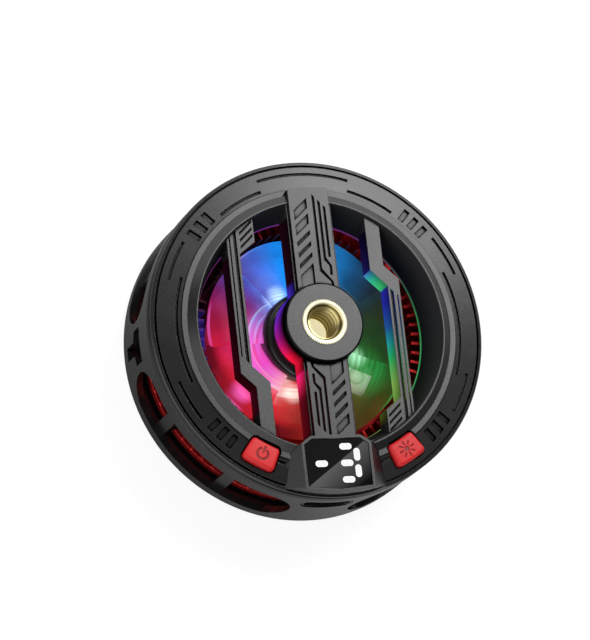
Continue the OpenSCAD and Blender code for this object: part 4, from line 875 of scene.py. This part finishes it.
def blade_side(turn, lift):
    """One face of a blade, row by row from root to tip."""
    pitch = math.radians(BLADE_PITCH)
    rows = []
    for i in range(BLADE_SPANS + 1):
        u = i / BLADE_SPANS
        r = HUB_R - BLADE_SUNK + BLADE_LENGTH * u
        half = BLADE_ROOT + (BLADE_TIP - BLADE_ROOT) * u
        half *= 1 - TIP_CUT * max(0.0, (u - TIP_FROM) / TIP_LENGTH) ** 2
        sweep = BLADE_SWEEP * u * u
        row = []
        for j in range(BLADE_CHORDS + 1):
            c = 2 * j / BLADE_CHORDS - 1
            across = (c * half + sweep) * math.cos(pitch)
            z = (FAN_LOW + FAN_TOP) / 2 + c * half * math.sin(pitch) + BLADE_CROWN * (1 - c * c) - BLADE_DROP
            z += lift * (EDGE_SHARE + (1 - EDGE_SHARE) * math.sqrt(max(0.0, 1 - c ** EDGE_POWER)))
            z = min(FAN_TOP - BLADE_GAP, max(FAN_LOW + BLADE_GAP, z))
            a = turn + across / r
            row.append((r * math.cos(a), r * math.sin(a), z))
        rows.append(row)
    return rows


def blade_mesh():
    points, faces = [], []
    wide = 2 * (BLADE_CHORDS + 1)
    for b in range(BLADES):
        turn = 2 * math.pi * b / BLADES
        upper, lower = (blade_side(turn, lift) for lift in (BLADE_THICK / 2, -BLADE_THICK / 2))
        loop = [up_row + list(reversed(low_row)) for up_row, low_row in zip(upper, lower)]
        p, f = lattice(loop, wrap_cols=True)
        base = len(points)
        points += p
        faces += [tuple(k + base for k in q) for q in f]
        for row in (0, BLADE_SPANS):
            start = base + row * wide
            for j in range(BLADE_CHORDS):
                faces.append((start + j, start + j + 1, start + wide - 2 - j, start + wide - 1 - j))
    return to_mesh("fan_blades", points, faces)


hub = piece("fan_hub", hub_mesh(), "fan", "black_plastic", GLOSS_BLACK)
crease(hub, 40)
blades = piece("fan_blades", blade_mesh(), "fan", "clear_plastic", CLEAR)
crease(blades, 60)
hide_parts("impeller")


# Camera, at the photograph's angle


# Picture size and focal length in pixels, and the camera's angles
PHOTO_W, PHOTO_H, FOCAL = 590, 640, 4000
TURN, LIFT, ROLL = math.radians(-51.29), math.radians(65.73), math.radians(47.38)
# Point that it looks towards, shift of the view in its plane, and distance, in millimetres
TARGET, SHIFT_X, SHIFT_Y, DISTANCE = Vector((0, 0, 18.5)), -4.015, 1.327, 689.2
SENSOR = 36

back = Vector((math.sin(TURN) * math.cos(LIFT), -math.cos(TURN) * math.cos(LIFT), math.sin(LIFT)))
up = Vector((-math.sin(TURN) * math.sin(LIFT), math.cos(TURN) * math.sin(LIFT), math.cos(LIFT)))
right = up.cross(back)
cam_x = right * math.cos(ROLL) + up * math.sin(ROLL)
cam_y = up * math.cos(ROLL) - right * math.sin(ROLL)
stand = (TARGET + cam_x * SHIFT_X + cam_y * SHIFT_Y + back * DISTANCE) * MM

camera = bpy.data.objects.new("camera", bpy.data.cameras.new("camera"))
camera.data.sensor_fit = "VERTICAL"
camera.data.sensor_height = SENSOR
camera.data.lens = SENSOR * FOCAL / PHOTO_H
camera.data.clip_start = 0.01
camera.data.clip_end = 20
camera.matrix_world = Matrix.Translation(stand) @ Matrix((cam_x, cam_y, back)).transposed().to_4x4()
scene.collection.objects.link(camera)
scene.camera = camera


# Stage: pale floor, soft studio light


# Half of the floor's side, and its height, just below the part so that their faces don't coincide
FLOOR_HALF, FLOOR_Z = 4.0, -0.02 * MM
# Share of the floor's white that is left to light and shadow
FLOOR_SHADOW = 0.15
# Middle of the dark zone that the object gives the mirrored floor, its reach, and its darkest share
ZONE_MIDDLE, ZONE_NEAR, ZONE_FAR, ZONE_DARK = (-0.014, 0.016, 0), 0.03, 0.10, 0.10
WORLD_LIGHT = 0.22


def white_where_seen(s, shadow):
    """A floor that looks white, also through glass and in gloss, where the object darkens it close by."""
    path = s.add("ShaderNodeLightPath")
    gap = s.vec("DISTANCE", s.place, ZONE_MIDDLE)
    clear_of_it = s.span(gap, ZONE_NEAR, ZONE_FAR, ZONE_DARK, 1.0, True)
    mirrored_floor = s.product(path.outputs["Is Glossy Ray"], clear_of_it)
    seen = s.math("MAXIMUM", path.outputs["Is Camera Ray"], mirrored_floor)
    seen = s.math("MAXIMUM", seen, path.outputs["Is Transmission Ray"])
    s.put(Emission_Color=(1, 1, 1, 1))
    s.to(Emission_Strength=s.math("MULTIPLY", seen, 1.0 - shadow))


def flat_sheet(name, corners):
    """A four-cornered sheet of the stage, in metres."""
    mesh = bpy.data.meshes.new(name)
    mesh.from_pydata([tuple(p) for p in corners], [], [(0, 1, 2, 3)])
    obj = bpy.data.objects.new(name, mesh)
    scene.collection.objects.link(obj)
    return obj


quarters = ((-1, -1), (1, -1), (1, 1), (-1, 1))
floor = flat_sheet("floor", [(FLOOR_HALF * x, FLOOR_HALF * y, FLOOR_Z) for x, y in quarters])
f = Shader("floor")
f.put(Base_Color=(0.24, 0.24, 0.24, 1), Roughness=0.9, Specular_IOR_Level=0.0)
white_where_seen(f, FLOOR_SHADOW)
floor.data.materials.append(f.mat)

world = bpy.data.worlds.new("studio")
scene.world = world
world.use_nodes = True
backdrop = world.node_tree.nodes["Background"]
backdrop.inputs["Color"].default_value = (1, 1, 1, 1)
backdrop.inputs["Strength"].default_value = WORLD_LIGHT


def from_angles(turn, lift, far):
    turn, lift = math.radians(turn), math.radians(lift)
    return Vector((math.cos(turn) * math.cos(lift), math.sin(turn) * math.cos(lift), math.sin(lift))) * far


def softbox(name, turn, lift, far, wide, tall, watts):
    """A lamp in this direction, in degrees, that faces the part from far metres away."""
    data = bpy.data.lights.new(name, "AREA")
    data.shape = "RECTANGLE"
    data.size, data.size_y = wide, tall
    data.energy = watts
    lamp = bpy.data.objects.new(name, data)
    scene.collection.objects.link(lamp)
    lamp.location = from_angles(turn, lift, far)
    lamp.rotation_euler = (-lamp.location).to_track_quat("-Z", "Y").to_euler()
    lamp.visible_camera = False


softbox("key", 48.5, 55, 0.75, 0.346, 0.346, 2.9)
softbox("back", 82, 24, 0.9, 2.0, 0.8, 7.2)
softbox("fill", 215, 30, 0.8, 1.4, 0.8, 5.4)


# A graded card above, whose edge the dark window mirrors


# The card's distance from the window, its reach from the edge and its overhang at each end, in metres
CARD_FAR, CARD_REACH, CARD_OVER = 0.40, 0.016, 0.02
CARD_LIGHT = 5.0
# Height of the window, and picture points: the two ends of the mirrored edge and one on the card's side
WINDOW_Z = 20.8 * MM
EDGE_START, EDGE_END, CARD_SIDE = (310.2, 486.0), (364.4, 440.3), (372, 500)


def mirrored(picture_point):
    """Where the ray through a picture point goes, once the flat window has mirrored it."""
    px, py = picture_point
    ray = (cam_x * (px - PHOTO_W / 2) - cam_y * (py - PHOTO_H / 2) - back * FOCAL).normalized()
    hit = stand + ray * ((WINDOW_Z - stand.z) / ray.z)
    return hit + Vector((ray.x, ray.y, -ray.z)) * CARD_FAR


start, end, side = mirrored(EDGE_START), mirrored(EDGE_END), mirrored(CARD_SIDE)
along = (end - start).normalized()
away = (side - start) - along * (side - start).dot(along)
away.normalize()
near_edge = [start - along * CARD_OVER, end + along * CARD_OVER]
far_edge = [point + away * CARD_REACH for point in reversed(near_edge)]
card = flat_sheet("window_card", near_edge + far_edge)
card.data.uv_layers.new(name="grade")
for loop, uv in zip(card.data.uv_layers[0].data, ((0, 0), (1, 0), (1, 1), (0, 1))):
    loop.uv = uv
card.visible_camera = False
k = Shader("window_card")
across, outward, _ = k.xyz(k.add("ShaderNodeTexCoord").outputs["UV"])
k.put(Base_Color=(0, 0, 0, 1), Specular_IOR_Level=0.0)
fade = k.product(k.span(outward, 0.0, 0.55, 1.0, 0.0), k.span(across, 0.1, 1.0, 1.0, 0.45))
k.to(Emission_Color=k.greys(fade, [(0.0, 0), (1.0, 1)]))
k.put(Emission_Strength=CARD_LIGHT)
card.data.materials.append(k.mat)

scene.view_settings.view_transform = "Standard"
